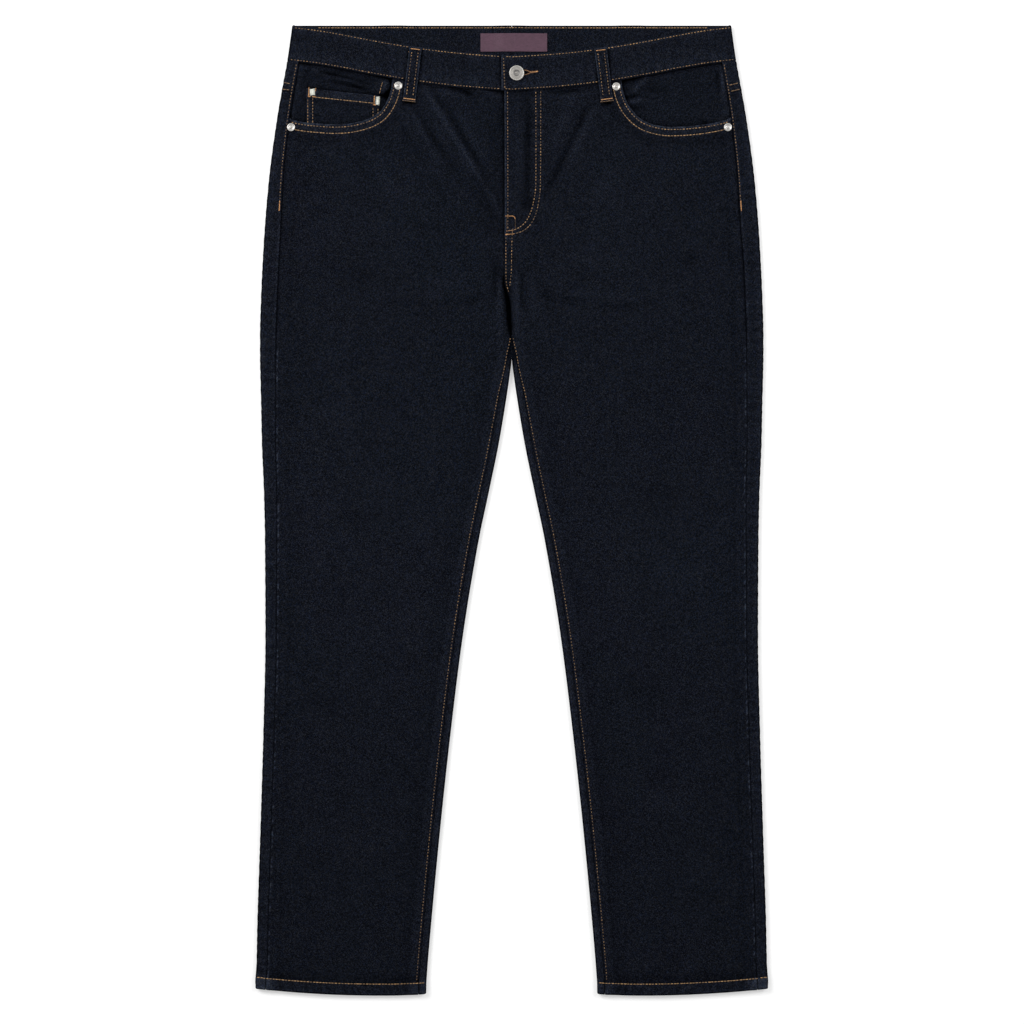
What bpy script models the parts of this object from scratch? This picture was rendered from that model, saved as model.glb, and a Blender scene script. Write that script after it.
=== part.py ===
"""Tapered five-pocket jeans, laid flat on their back.

Metres, +Z up. The wearer's front faces +Z, the waist points to +Y, and the wearer's left is +X.
"down" is the distance from the waistband's top edge towards the hem. Heights are those of the cloth's outer
face: the back lies on z = 0, and the front lies over it. Each back wraps round both folds of its leg and
meets the front in the outseam and the inseam, on the front of the garment.
"""

import math

import bmesh
import bpy

for thing in list(bpy.data.objects):
    bpy.data.objects.remove(thing, do_unlink=True)

MM = 0.001

# driving dimensions

LENGTH = 1.0573             # waistband's top edge to the lowest point of the hem
WALL = 0.0010               # denim
SEAM_GAP = 0.0003           # between neighbouring pieces
BAND_WALL = 0.0020          # waistband, two layers
BAND_WIDTH = 0.0384
BAND_PROUD = 0.0005         # waistband's face above the front's
HEM_WALL = 0.0024           # hem, three layers
HEM_DEPTH = 0.0130
CROTCH_DOWN = 0.337         # where the four leg panels meet
APEX_DOWN = 0.362           # top of the gap between the legs
YOKE_CENTRE_DOWN = 0.112    # yoke seam at the centre back and at the side fold
YOKE_SIDE_DOWN = 0.072
CENTRE_SHIFT = -0.004       # the front's centre line at the waist
LAP_EDGE = -0.0104          # free end of the wearer's left waistband
UNDERLAP_EDGE = 0.025       # end of the wearer's right waistband, under the left one
FLY_END_DOWN = 0.228
UNDERLAP_FRONT = 0.0015     # edge of the right front, under the fly
LAYER = WALL + SEAM_GAP     # one cloth under another
BAND_LAYER = BAND_WALL + SEAM_GAP

LOOP_WIDTH = 0.0125
FRONT_LOOP_TOP_X = 0.1006   # from the front's centre line
FRONT_LOOP_BOTTOM_X = 0.1078
FRONT_LOOP_BOTTOM_DOWN = 0.0825
LOOP_TOP_INSET = 0.0006     # below the waistband's top edge
REAR_LOOP_BOTTOM_DOWN = 0.060
SIDE_LOOP_X = 0.130
BUTTON_PLACE = (0.0058, 0.0513)
BUTTON_RADIUS = 0.0086
SHANK_RADIUS = 0.0015
EYE_RADIUS = 0.0023
BUTTONHOLE_END = 0.0265
BUTTONHOLE_SLIT = 0.0012
RIVET_RADIUS = 0.0050
RIVET_PLACES = ((-0.1230, 0.0665), (-0.2403, 0.1106), (0.1145, 0.0676), (0.2360, 0.1106))
LABEL_BOX = (-0.0341, 0.0397, 0.0078, 0.0288)     # left, right, top and bottom, inside the back waistband
LABEL_WALL = 0.0006
ZIP_BOX = (0.0019, 0.0270, 0.0730, 0.2150)
ZIP_WALL = 0.0008
SLIDER_WALL = 0.0020
SLIDER_ENDS = (0.0770, 0.0860, 0.0930)              # top of the slider, its shoulder and its tab's end
FACING_TUCK = 0.0030                                # facing under the outseam
BACK_POCKET = {"inner": 0.052, "outer": 0.192, "top": 0.140, "side": 0.272, "tip": 0.295, "taper": 0.008}

# Each row is one section across the garment, in millimetres: its place, the silhouette's half width, the
# inner fold of the leg, how far the outseam and the inseam lie inside their folds, and the front's height
# at the inner fold (or the centre), in the middle and at the outer fold.
SECTION_COLUMNS = ("down", "half", "inner", "outseam", "inseam", "high_in", "high_mid", "high_out")
SECTIONS = (
    (0.0, 239.3, 0.15, 12.5, 0.0, 7.6, 6.2, 5.4),
    (38.0, 244.8, 0.15, 13.0, 0.0, 7.6, 6.2, 5.4),
    (72.0, 251.0, 0.15, 13.3, 0.0, 7.3, 6.0, 5.2),
    (100.0, 255.8, 0.15, 13.8, 0.0, 6.3, 5.6, 5.0),
    (168.0, 264.9, 0.15, 15.6, 0.0, 5.3, 5.4, 5.0),
    (234.0, 270.3, 0.15, 18.0, 0.0, 4.7, 5.4, 5.0),
    (300.0, 273.6, 0.15, 18.0, 0.0, 4.0, 5.4, 5.0),
    (337.0, 274.6, 0.15, 17.6, 0.2, 4.0, 5.3, 5.0),
    (362.0, 274.6, 0.15, 17.2, 5.0, 4.6, 5.2, 5.0),
    (404.0, 273.6, 5.5, 16.0, 8.0, 4.8, 5.0, 5.0),
    (456.0, 272.5, 14.2, 14.8, 8.2, 4.8, 4.8, 5.0),
    (509.0, 270.3, 25.1, 13.7, 8.2, 4.8, 4.7, 5.0),
    (561.0, 269.2, 36.0, 12.5, 8.2, 4.8, 4.7, 5.0),
    (666.0, 268.7, 53.4, 11.4, 8.2, 4.8, 4.6, 5.0),
    (770.0, 270.9, 66.5, 11.1, 8.2, 4.8, 4.6, 5.0),
    (875.0, 274.1, 77.9, 10.9, 8.2, 4.8, 4.6, 5.0),
    (979.0, 277.4, 87.7, 10.9, 8.2, 4.8, 4.6, 5.0),
    (1036.0, 278.6, 92.4, 10.9, 8.2, 5.0, 4.8, 5.2),
    (1046.0, 279.6, 93.0, 10.9, 8.2, 6.2, 6.0, 6.2),
    (1057.3, 279.6, 93.2, 10.9, 8.2, 6.2, 6.0, 6.2),
)

# The front waistband's top edge, in millimetres: distance from the centre, and how far down it lies.
BAND_TOP = (
    (0.0, 33.0), (50.0, 29.6), (100.0, 23.8), (150.0, 15.4), (190.0, 7.7), (216.0, 3.4), (245.0, 0.0),
)

# The centre front, in millimetres: the fly's folded edge, then the crotch seam, as (down, x).
CENTRE_SEAM = ((60.0, -7.2), (203.0, -6.0), (270.0, -6.2), (294.0, -2.6), (337.0, 0.15))

# Bezier points of the pocket mouth, in millimetres: distance from the front's centre line, and down.
MOUTH_SCOOP = ((123.3, 57.0), (126.0, 97.0), (149.0, 108.6), (190.0, 108.4))
MOUTH_SIDE = ((190.0, 108.4), (207.0, 108.2), (224.0, 104.5), (238.0, 100.0))
FACING_EDGE = ((114.0, 57.0), (117.0, 106.0), (144.0, 117.0), (190.0, 117.0))
COIN_POCKET = ((140.0, 76.6), (220.2, 68.2), (220.2, 115.0), (140.0, 115.0))
COIN_FACING_FALL = (0.050, 0.067)       # between these, the facing sinks a layer to carry the coin pocket

# Places where the faceted cloth has a row, which neighbouring panels share, and where it has a column.
WAIST_ROWS = (0.060, 0.072, 0.085, 0.100)
SEAM_ROWS = (
    0.118, 0.128, 0.165, 0.210, 0.260, 0.300, 0.320, CROTCH_DOWN, APEX_DOWN - 0.0025, APEX_DOWN, 0.404,
    0.456, 0.530, 0.613, 0.700, 0.790, 0.875, 0.960, 1.030,
    LENGTH - HEM_DEPTH - 0.0005, LENGTH - HEM_DEPTH + 0.0005, LENGTH,
)
FLY_ROWS = (FLY_END_DOWN - 0.004, FLY_END_DOWN + 0.022)
FRONT_COLUMNS = (0.014, 0.040, 0.080, 0.125, 0.170, 0.215)
BAND_PLACES = (0.0, 0.012, 0.030, 0.050, 0.075, 0.100, 0.125, 0.150, 0.175, 0.200, 0.222)


# formulas

def mix(a, b, t):
    return a + (b - a) * t


def ramp(start, end, value):
    """0 before start, 1 after end, straight between."""
    return min(1.0, max(0.0, (value - start) / (end - start)))


def ease(start, end, value):
    t = ramp(start, end, value)
    return t * t * (3.0 - 2.0 * t)


def through(points, value):
    """A smooth curve through (place, value) points that never swings past them."""
    places = [p[0] for p in points]
    values = [p[1] for p in points]
    if value <= places[0]:
        return values[0]
    if value >= places[-1]:
        return values[-1]
    slopes = [(b[1] - a[1]) / (b[0] - a[0]) for a, b in zip(points, points[1:])]

    def lean(k):
        if k == 0 or k == len(slopes):
            return slopes[min(k, len(slopes) - 1)]
        before, after = slopes[k - 1], slopes[k]
        return 0.0 if before * after <= 0 else 2.0 * before * after / (before + after)

    k = max(n for n, place in enumerate(places[:-1]) if place <= value)
    span = places[k + 1] - places[k]
    t = (value - places[k]) / span
    return (
        values[k] * (2 * t**3 - 3 * t**2 + 1)
        + values[k + 1] * (3 * t**2 - 2 * t**3)
        + span * lean(k) * (t**3 - 2 * t**2 + t)
        + span * lean(k + 1) * (t**3 - t**2)
    )


SECTION_CURVES = {
    name: tuple((row[0] * MM, row[k] * MM) for row in SECTIONS) for k, name in enumerate(SECTION_COLUMNS)
}
CENTRE_CURVE = tuple((down * MM, x * MM) for down, x in CENTRE_SEAM)
BAND_CURVE = tuple((x * MM, down * MM) for x, down in BAND_TOP)


def section(name, down):
    return through(SECTION_CURVES[name], down)


def bezier(points, steps):
    (ax, ay), (bx, by), (cx, cy), (dx, dy) = points
    made = []
    for n in range(steps + 1):
        t = n / steps
        u = 1.0 - t
        weights = (u**3, 3 * u * u * t, 3 * u * t * t, t**3)
        x = weights[0] * ax + weights[1] * bx + weights[2] * cx + weights[3] * dx
        y = weights[0] * ay + weights[1] * by + weights[2] * cy + weights[3] * dy
        made.append((x * MM, y * MM))
    return made


def band_top_down(x):
    return through(BAND_CURVE, abs(x))


def band_low_down(x):
    return band_top_down(x) + BAND_WIDTH


def slanted_down(x, centre, side):
    """A row that climbs from the centre back to the side fold."""
    return mix(centre, side, min(1.0, abs(x) / section("half", side)))


def yoke_seam_down(x):
    return slanted_down(x, YOKE_CENTRE_DOWN, YOKE_SIDE_DOWN)


def hem_rise(x):
    """How far the hem's edge lies above its lowest point, at a distance from the centre."""
    lowest = 0.140
    away = abs(x) - lowest
    return 0.0076 * (away / lowest) ** 2 if away > 0 else 0.0018 * (away / 0.047) ** 2


def place(x, down, high):
    """A point of the garment. Near the hem, rows follow the hem's curve."""
    down -= hem_rise(x) * ease(0.900, LENGTH - HEM_DEPTH, down)
    return (x, LENGTH / 2 - down, high)


def front_height(x, down):
    """Outer face of the front's upper layer."""
    inner = section("inner", down)
    across = (abs(x) - inner) / (section("half", down) - inner)
    high_in, high_mid, high_out = (section(name, down) for name in ("high_in", "high_mid", "high_out"))
    return mix(mix(high_in, high_mid, ease(0.0, 0.32, across)), high_out, ease(0.62, 0.93, across))


def right_front_height(x, down):
    """The wearer's right front lies one layer lower beside the fly, and runs under it."""
    beside_fly = 1.0 - ramp(*FLY_ROWS, down)
    return front_height(x, down) - LAYER * ramp(-0.040, -0.014, x) * beside_fly


def band_height(x, down):
    return front_height(x, down) + BAND_PROUD


def on_the_ground(x, down):
    return 0.0


def raised_over_trim(x, down):
    """Height of the back's outer face, which lies on the back pockets and the rear belt loops."""
    reach, fall = 0.013, 0.009
    x = abs(x)
    pocket = BACK_POCKET
    past_pocket = max(pocket["inner"] - x, x - pocket["outer"], pocket["top"] - down, down - pocket["tip"])
    over_pocket = 1.0 - ramp(reach, reach + fall, past_pocket)
    beside_loop = min(x, abs(x - SIDE_LOOP_X)) - LOOP_WIDTH / 2
    over_loop = 1.0 - ramp(0.003, 0.014, beside_loop)
    over_loop *= 1.0 - ramp(0.008, 0.020, down - REAR_LOOP_BOTTOM_DOWN)
    return LAYER * max(over_pocket, over_loop)


# cloth

def finish(name, slot, roughness, metallic=0.0, color=(0.010, 0.012, 0.018)):
    material = bpy.data.materials.get(slot) or bpy.data.materials.new(slot)
    material.use_nodes = True
    shader = material.node_tree.nodes["Principled BSDF"]
    shader.inputs["Base Color"].default_value = (*color, 1.0)
    shader.inputs["Roughness"].default_value = roughness
    shader.inputs["Metallic"].default_value = metallic
    bpy.data.objects[name].data.materials.append(material)


def add_object(name, shape):
    mesh = bpy.data.meshes.new(name)
    shape.to_mesh(mesh)
    shape.free()
    thing = bpy.data.objects.new(name, mesh)
    bpy.context.scene.collection.objects.link(thing)
    return thing


def thicken(thing, wall, thin_share=None):
    """Gives a sheet its wall, inwards from the outer face. Points outside the group "thick" get a share."""
    solid = thing.modifiers.new("wall", "SOLIDIFY")
    solid.thickness = wall
    solid.offset = -1.0
    solid.use_even_offset = True
    if thin_share is not None:
        solid.vertex_group = "thick"
        solid.thickness_vertex_group = thin_share


def mark_hem(thing):
    """Puts the points of the turned-up hem in the group "thick"."""
    group = thing.vertex_groups.new(name="thick")
    downs = thing.data.attributes["down"].data
    group.add([n for n, item in enumerate(downs) if item.value > LENGTH - HEM_DEPTH], 1.0, "REPLACE")


def draped(name, outline, height, wall, rows=(), columns=(), facing_up=True, hem=False):
    """Cuts a flat piece with an (x, down) outline, and lays it at its height over the garment."""
    shape = bmesh.new()
    shape.faces.new([shape.verts.new((x, down, 0.0)) for x, down in outline])
    for axis, cuts in ((1, rows), (0, columns)):
        for cut in cuts:
            point = [0.0, 0.0, 0.0]
            normal = [0.0, 0.0, 0.0]
            point[axis] = cut
            normal[axis] = 1.0
            everything = shape.verts[:] + shape.edges[:] + shape.faces[:]
            bmesh.ops.bisect_plane(shape, geom=everything, dist=2e-5, plane_co=point, plane_no=normal)
    layer = shape.verts.layers.float.new("down")
    for vert in shape.verts:
        x, down = vert.co.x, vert.co.y
        vert[layer] = down
        vert.co = place(x, down, height(x, down))
    for face in shape.faces:
        face.normal_update()
        if (face.normal.z > 0) != facing_up:
            face.normal_flip()
    thing = add_object(name, shape)
    if hem:
        mark_hem(thing)
        thicken(thing, HEM_WALL, WALL / HEM_WALL)
    else:
        thicken(thing, wall)
    return thing


def wrapped(name, grid, wall, keep=lambda row, column: True, hem=False):
    """Skins a grid of (x, down, high) points. Rows run down, columns run round from front to back."""
    shape = bmesh.new()
    layer = shape.verts.layers.float.new("down")
    verts = {}

    def vert(row, column):
        if (row, column) not in verts:
            x, down, high = grid[row][column]
            verts[row, column] = shape.verts.new(place(x, down, high))
            verts[row, column][layer] = down
        return verts[row, column]

    for row in range(len(grid) - 1):
        for column in range(len(grid[0]) - 1):
            if keep(row, column):
                corners = ((row, column), (row, column + 1), (row + 1, column + 1), (row + 1, column))
                shape.faces.new([vert(*corner) for corner in corners])
    shape.normal_update()
    lowest = min(shape.faces, key=lambda face: face.calc_center_median().z)
    if lowest.normal.z > 0:
        bmesh.ops.reverse_faces(shape, faces=shape.faces)
    thing = add_object(name, shape)
    if hem:
        mark_hem(thing)
        thicken(thing, HEM_WALL, WALL / HEM_WALL)
    else:
        thicken(thing, wall)
    return thing


FOLD_STEPS = (36.0, 72.0, 108.0, 144.0, 180.0)
INNER_FOLD_STEPS = (45.0, 90.0, 135.0)
WRAP_STEPS = (0.0, 0.5, 1.0)
UNDER_SHARES = (0.90, 0.82, 0.765, 0.71, 0.60, 0.45, 0.31, 0.225, 0.17, 0.115, 0.0)
UNDER_PLACES = (0.215, 0.180, 0.150, 0.1385, 0.1215, 0.110, 0.070, 0.020, 0.009, SEAM_GAP / 2)


def outer_fold(down, height):
    """Points round the outer fold, from the front to the back."""
    radius = height(section("half", down), down) / 2
    centre = section("half", down) - radius
    turns = [math.radians(90.0 - step) for step in FOLD_STEPS]
    return [(centre + radius * math.cos(turn), down, radius + radius * math.sin(turn)) for turn in turns]


def outseam_x(down):
    return section("half", down) - section("outseam", down)


def inseam_x(down):
    return section("inner", down) + section("inseam", down)


def fold_start(down, height):
    return section("half", down) - height(section("half", down), down) / 2


def back_row(downs):
    """One row round a back, from the outseam to the inseam. downs gives each column's place."""
    middle = downs(0.0)
    row = []
    for step in WRAP_STEPS:
        down = downs(section("half", middle))
        x = mix(outseam_x(down) + SEAM_GAP / 2, fold_start(down, front_height), step)
        row.append((x, down, front_height(x, down)))
    row += outer_fold(downs(section("half", middle)), front_height)
    start = fold_start(middle, front_height)
    radius = section("high_in", middle) / 2
    end = section("inner", middle) + (radius if middle > APEX_DOWN - 0.001 else 0.0)
    for share in UNDER_SHARES:
        x = mix(end, start, share)
        row.append((x, downs(x), raised_over_trim(x, downs(x))))
    centre = section("inner", middle) + radius
    for step in INNER_FOLD_STEPS:
        turn = math.radians(-90.0 - step)
        row.append((centre + radius * math.cos(turn), middle, radius + radius * math.sin(turn)))
    seam = max(inseam_x(middle) - SEAM_GAP / 2, section("inner", middle))
    begin = centre if middle > APEX_DOWN - 0.001 else section("inner", middle)
    for step in WRAP_STEPS:
        x = mix(begin, seam, step)
        row.append((x, middle, front_height(x, middle)))
    return row


def mirrored(points, side):
    return [(side * x, *rest) for x, *rest in points]


def build_back(word, side):
    rows = [
        back_row(lambda x: yoke_seam_down(x) + SEAM_GAP / 2),
        back_row(lambda x: slanted_down(x, YOKE_CENTRE_DOWN + 0.003, WAIST_ROWS[-1])),
    ]
    rows += [back_row(lambda x, down=down: down) for down in SEAM_ROWS]
    crotch = 2 + SEAM_ROWS.index(CROTCH_DOWN)
    apex = 2 + SEAM_ROWS.index(APEX_DOWN)
    inner_fold = len(WRAP_STEPS) + len(FOLD_STEPS) + len(UNDER_SHARES) - 1
    inner_wrap = inner_fold + len(INNER_FOLD_STEPS) + 1

    def keep(row, column):
        if column >= inner_wrap:
            return row >= crotch
        if column >= inner_fold:
            return row >= apex
        return True

    grid = [mirrored(row, side) for row in rows]
    name = "back_" + word
    wrapped(name, grid, WALL, keep, hem=True)
    finish(name, "denim", 0.85)


def yoke_row(share):
    """One row round a yoke, from the outseam to the centre back."""
    def down_at(x, top):
        return mix(top + SEAM_GAP, yoke_seam_down(x) - SEAM_GAP / 2, share)

    side_down = down_at(section("half", YOKE_SIDE_DOWN), band_low_down(section("half", YOKE_SIDE_DOWN)))
    row = []
    for step in WRAP_STEPS:
        x = mix(outseam_x(side_down) + SEAM_GAP / 2, fold_start(side_down, front_height), step)
        down = down_at(section("half", YOKE_SIDE_DOWN), band_low_down(x))
        row.append((x, down, front_height(x, down)))
    row += outer_fold(side_down, front_height)
    for x in UNDER_PLACES:
        down = down_at(x, BAND_WIDTH)
        row.append((x, down, raised_over_trim(x, down)))
    return row


def build_yoke(word, side):
    grid = [mirrored(yoke_row(share), side) for share in (0.0, 0.3, 0.42, 0.6, 0.8, 1.0)]
    name = "yoke_" + word
    wrapped(name, grid, WALL)
    finish(name, "denim", 0.85)


def band_row(share, front_places, drop):
    """One row along a waistband half, from its front end to the centre back."""
    down = share * BAND_WIDTH
    row = []
    for x in front_places:
        at = band_top_down(x) + down
        row.append((x, at, band_height(x, at) - drop(x)))
    start = fold_start(down, band_height)
    row.append((start, band_top_down(start) + down, band_height(start, down)))
    row += outer_fold(down, band_height)
    row += [(x, down, raised_over_trim(x, down)) for x in UNDER_PLACES]
    return row


def build_waistband(word, side):
    end = LAP_EDGE if side > 0 else -UNDERLAP_EDGE
    front_places = (end, *BAND_PLACES)

    def drop(x):
        return 0.0 if side > 0 else BAND_LAYER * (1.0 - ramp(0.012, 0.050, x))

    grid = [mirrored(band_row(share, front_places, drop), side) for share in (0.0, 0.33, 0.67, 1.0)]
    name = "waistband_" + word
    band = wrapped(name, grid, BAND_WALL)
    finish(name, "denim", 0.85)
    return band


def cut_buttonhole(band):
    """A keyhole through the wearer's left waistband: a round eye for the shank, and a slit."""
    x, down = BUTTON_PLACE
    outline = [(x + EYE_RADIUS * math.cos(turn), down + EYE_RADIUS * math.sin(turn))
               for turn in (math.radians(angle) for angle in range(30, 331, 30))]
    half = BUTTONHOLE_SLIT / 2
    outline += [(BUTTONHOLE_END, down - half), (BUTTONHOLE_END, down + half)]
    shape = bmesh.new()
    face = shape.faces.new([shape.verts.new((px, LENGTH / 2 - pd, 0.0)) for px, pd in outline])
    sides = bmesh.ops.extrude_face_region(shape, geom=[face])
    raised = [item for item in sides["geom"] if isinstance(item, bmesh.types.BMVert)]
    bmesh.ops.translate(shape, vec=(0, 0, 0.02), verts=raised)
    bmesh.ops.recalc_face_normals(shape, faces=shape.faces)
    cutter = add_object("buttonhole_cutter", shape)
    cutter.hide_render = True
    cutter.display_type = "WIRE"
    cut = band.modifiers.new("buttonhole", "BOOLEAN")
    cut.operation = "DIFFERENCE"
    cut.object = cutter


def mouth(side):
    """The pocket mouth's edge, from the waistband to the outseam, in distances from the garment's centre."""
    shift = side * CENTRE_SHIFT
    points = bezier(MOUTH_SCOOP, 10) + bezier(MOUTH_SIDE, 5)[1:]
    return [(x + shift, down) for x, down in points]


def seam_points(x_at, start, end):
    """Points of a seam, at both ends and at the rows between them that the panels share."""
    low, high = sorted((start, end))
    downs = [low, *(row for row in WAIST_ROWS + SEAM_ROWS if low + MM < row < high - MM), high]
    if start > end:
        downs.reverse()
    return [(x_at(down), down) for down in downs]


def front_outline(side):
    mouth_edge = mouth(side)
    shift_in, corner = mouth_edge[0][0], mouth_edge[-1]
    mouth_edge[0] = (shift_in, band_low_down(shift_in) + SEAM_GAP)
    outline = list(mouth_edge[:-1])
    outline += seam_points(lambda down: outseam_x(down) - SEAM_GAP / 2, corner[1], LENGTH)
    outline += seam_points(lambda down: inseam_x(down) + SEAM_GAP / 2, LENGTH, CROTCH_DOWN)
    centre_start = CROTCH_DOWN - 0.010
    top = band_low_down(0.0) + SEAM_GAP
    if side > 0:
        centre = seam_points(lambda down: through(CENTRE_CURVE, down), centre_start, top)
    else:
        centre = seam_points(lambda down: SEAM_GAP - through(CENTRE_CURVE, down), centre_start, FLY_END_DOWN)
        centre += [(-UNDERLAP_FRONT, FLY_END_DOWN - 0.020), (-UNDERLAP_FRONT, top)]
    outline += centre
    edge = centre[-1][0]
    outline += [(x, band_low_down(x) + SEAM_GAP) for x in BAND_PLACES if edge + MM < x < shift_in - MM]
    return [(side * x, down) for x, down in outline]


def build_front(word, side):
    name = "front_" + word
    height = front_height if side > 0 else right_front_height
    rows = WAIST_ROWS + SEAM_ROWS[:-1] + FLY_ROWS
    columns = [side * x for x in FRONT_COLUMNS]
    draped(name, front_outline(side), height, WALL, rows, columns, hem=True)
    finish(name, "denim", 0.85)


def facing_depth(side):
    """How far below the front's face a pocket facing lies: lower under the coin pocket."""
    if side > 0:
        return lambda down: LAYER
    return lambda down: LAYER * (1.0 + ease(*COIN_FACING_FALL, down))


def build_facing(word, side):
    shift = side * CENTRE_SHIFT
    inner_edge = [(x + shift, down) for x, down in bezier(FACING_EDGE, 8)]
    first = inner_edge[0][0]
    inner_edge[0] = (first, band_low_down(first) + SEAM_GAP)
    outer = [(outseam_x(down) + FACING_TUCK, down) for down in (0.112, 0.095, 0.080, 0.065, 0.052)]
    places = [BAND_PLACES[-1] + 0.011, *(x for x in reversed(BAND_PLACES) if x > first + MM)]
    top = [(x, band_low_down(x) + SEAM_GAP) for x in places]
    outline = [(side * x, down) for x, down in inner_edge + outer + top]
    depth = facing_depth(side)
    rows = (0.050, 0.058, 0.067, 0.076, 0.085, 0.095, 0.105)
    columns = [side * x for x in (0.150, 0.175, 0.200, 0.222)]
    name = "pocket_facing_" + word
    draped(name, outline, lambda x, down: front_height(x, down) - depth(down), WALL, rows, columns)
    finish(name, "denim", 0.85)


def build_coin_pocket():
    outline = [(CENTRE_SHIFT - x * MM, down * MM) for x, down in COIN_POCKET]
    rows = [0.085, 0.095, 0.105]
    columns = [-0.165, -0.185, -0.205]
    draped("coin_pocket", outline, lambda x, down: front_height(x, down) - LAYER, WALL, rows, columns)
    finish("coin_pocket", "denim", 0.85)


def build_back_pocket(word, side):
    size = BACK_POCKET
    middle = (size["inner"] + size["outer"]) / 2
    outline = [
        (size["inner"], size["top"]),
        (size["outer"], size["top"]),
        (size["outer"] - size["taper"], size["side"]),
        (middle, size["tip"]),
        (size["inner"] + size["taper"], size["side"]),
    ]
    outline = [(side * x, down) for x, down in outline]
    name = "back_pocket_" + word
    rows = [0.165, 0.200, 0.235]
    draped(name, outline, on_the_ground, WALL, rows, [side * middle], facing_up=False)
    finish(name, "denim", 0.85)


def strip_outline(top, bottom, width):
    """A straight strip between two (x, down) points."""
    along = (bottom[0] - top[0], bottom[1] - top[1])
    length = math.hypot(*along)
    across = (-along[1] / length * width / 2, along[0] / length * width / 2)
    corners = ((top, 1), (top, -1), (bottom, -1), (bottom, 1))
    return [(point[0] + sign * across[0], point[1] + sign * across[1]) for point, sign in corners]


def build_front_loop(word, side):
    top_x = side * FRONT_LOOP_TOP_X + CENTRE_SHIFT
    bottom_x = side * FRONT_LOOP_BOTTOM_X + CENTRE_SHIFT
    edge = band_low_down(top_x)

    def height(x, down):
        step_down = ease(edge + 0.003, edge + 0.009, down)
        return mix(band_height(x, down), front_height(x, down), step_down) + SEAM_GAP + WALL

    top = (top_x, band_top_down(top_x) + LOOP_TOP_INSET)
    outline = strip_outline(top, (bottom_x, FRONT_LOOP_BOTTOM_DOWN), LOOP_WIDTH)
    rows = [edge - 0.020, edge, edge + 0.003, edge + 0.006, edge + 0.009]
    name = "belt_loop_front_" + word
    draped(name, outline, height, WALL, rows, [(top_x + bottom_x) / 2])
    finish(name, "denim", 0.85)


def build_rear_loop(name, x):
    outline = strip_outline((x, LOOP_TOP_INSET), (x, REAR_LOOP_BOTTOM_DOWN), LOOP_WIDTH)
    draped(name, outline, on_the_ground, WALL, [0.020, 0.040], [x], facing_up=False)
    finish(name, "denim", 0.85)


def build_label():
    left, right, top, bottom = LABEL_BOX

    def height(x, down):
        return raised_over_trim(x, down) + BAND_WALL + SEAM_GAP + LABEL_WALL

    ramps = [sign * place_x for place_x in (0.009, 0.020) for sign in (1, -1)]
    outline = [(left, top), (right, top), (right, bottom), (left, bottom)]
    draped("label", outline, height, LABEL_WALL, [], ramps)
    finish("label", "label_weave", 0.6, color=(0.09, 0.045, 0.075))


def zip_height(x, down):
    """The zip lies under the fly, and lower where its slider sits on it."""
    return front_height(x, down) - LAYER - (SLIDER_WALL + SEAM_GAP) * (1.0 - ramp(0.096, 0.125, down))


def build_zip():
    left, right, top, bottom = ZIP_BOX
    middle = (left + right) / 2
    outline = [(left, top), (right, top), (right, bottom), (left, bottom)]
    rows = [0.084, 0.096, 0.110, 0.125, 0.150, 0.180]
    draped("fly_zip", outline, zip_height, ZIP_WALL, rows, [middle])
    finish("fly_zip", "zip_tape", 0.8, color=(0.02, 0.02, 0.025))
    body, tab = 0.0045, 0.0025
    start, shoulder, end = SLIDER_ENDS
    outline = [
        (middle - body, start), (middle + body, start), (middle + body, shoulder),
        (middle + tab, shoulder), (middle + tab, end), (middle - tab, end),
        (middle - tab, shoulder), (middle - body, shoulder),
    ]
    row = (start + shoulder) / 2
    draped("zip_slider", outline, lambda x, down: front_height(x, down) - LAYER, SLIDER_WALL, [row])
    finish("zip_slider", "metal", 0.4, 1.0, (0.35, 0.34, 0.33))


# metal

def turned(name, profile, x, down, base, segments):
    """Spins an (r, z) profile round +Z. It starts and ends on the axis."""
    shape = bmesh.new()
    rings = []
    for radius, high in profile:
        if radius == 0.0:
            rings.append([shape.verts.new((x, LENGTH / 2 - down, base + high))])
        else:
            ring = []
            for n in range(segments):
                turn = 2 * math.pi * n / segments
                along = LENGTH / 2 - down + radius * math.sin(turn)
                spot = (x + radius * math.cos(turn), along, base + high)
                ring.append(shape.verts.new(spot))
            rings.append(ring)
    for lower, upper in zip(rings, rings[1:]):
        for n in range(segments):
            m = (n + 1) % segments
            corners = [lower[n % len(lower)], lower[m % len(lower)]]
            corners += [upper[m % len(upper)], upper[n % len(upper)]]
            shape.faces.new(list(dict.fromkeys(corners)))
    bmesh.ops.recalc_face_normals(shape, faces=shape.faces)
    thing = add_object(name, shape)
    thing.data.shade_smooth()
    thing.data.set_sharp_from_angle(angle=math.radians(35))
    return thing


def build_button():
    x, down = BUTTON_PLACE
    seat = band_height(x, down) + SEAM_GAP
    foot = band_height(x, down) - BAND_LAYER + SEAM_GAP
    head = seat - foot
    rim = BUTTON_RADIUS
    profile = [
        (0.0, 0.0), (SHANK_RADIUS, 0.0), (SHANK_RADIUS, head + 0.0004), (rim * 0.72, head),
        (rim * 0.95, head + 0.0005), (rim, head + 0.0014), (rim * 0.95, head + 0.0022),
        (rim * 0.84, head + 0.0024), (rim * 0.76, head + 0.0020), (rim * 0.40, head + 0.0016),
        (rim * 0.30, head + 0.0013), (rim * 0.22, head + 0.0019), (0.0, head + 0.0021),
    ]
    turned("button", profile, x, down, foot, 28)
    finish("button", "metal", 0.35, 1.0, (0.35, 0.34, 0.33))


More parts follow.
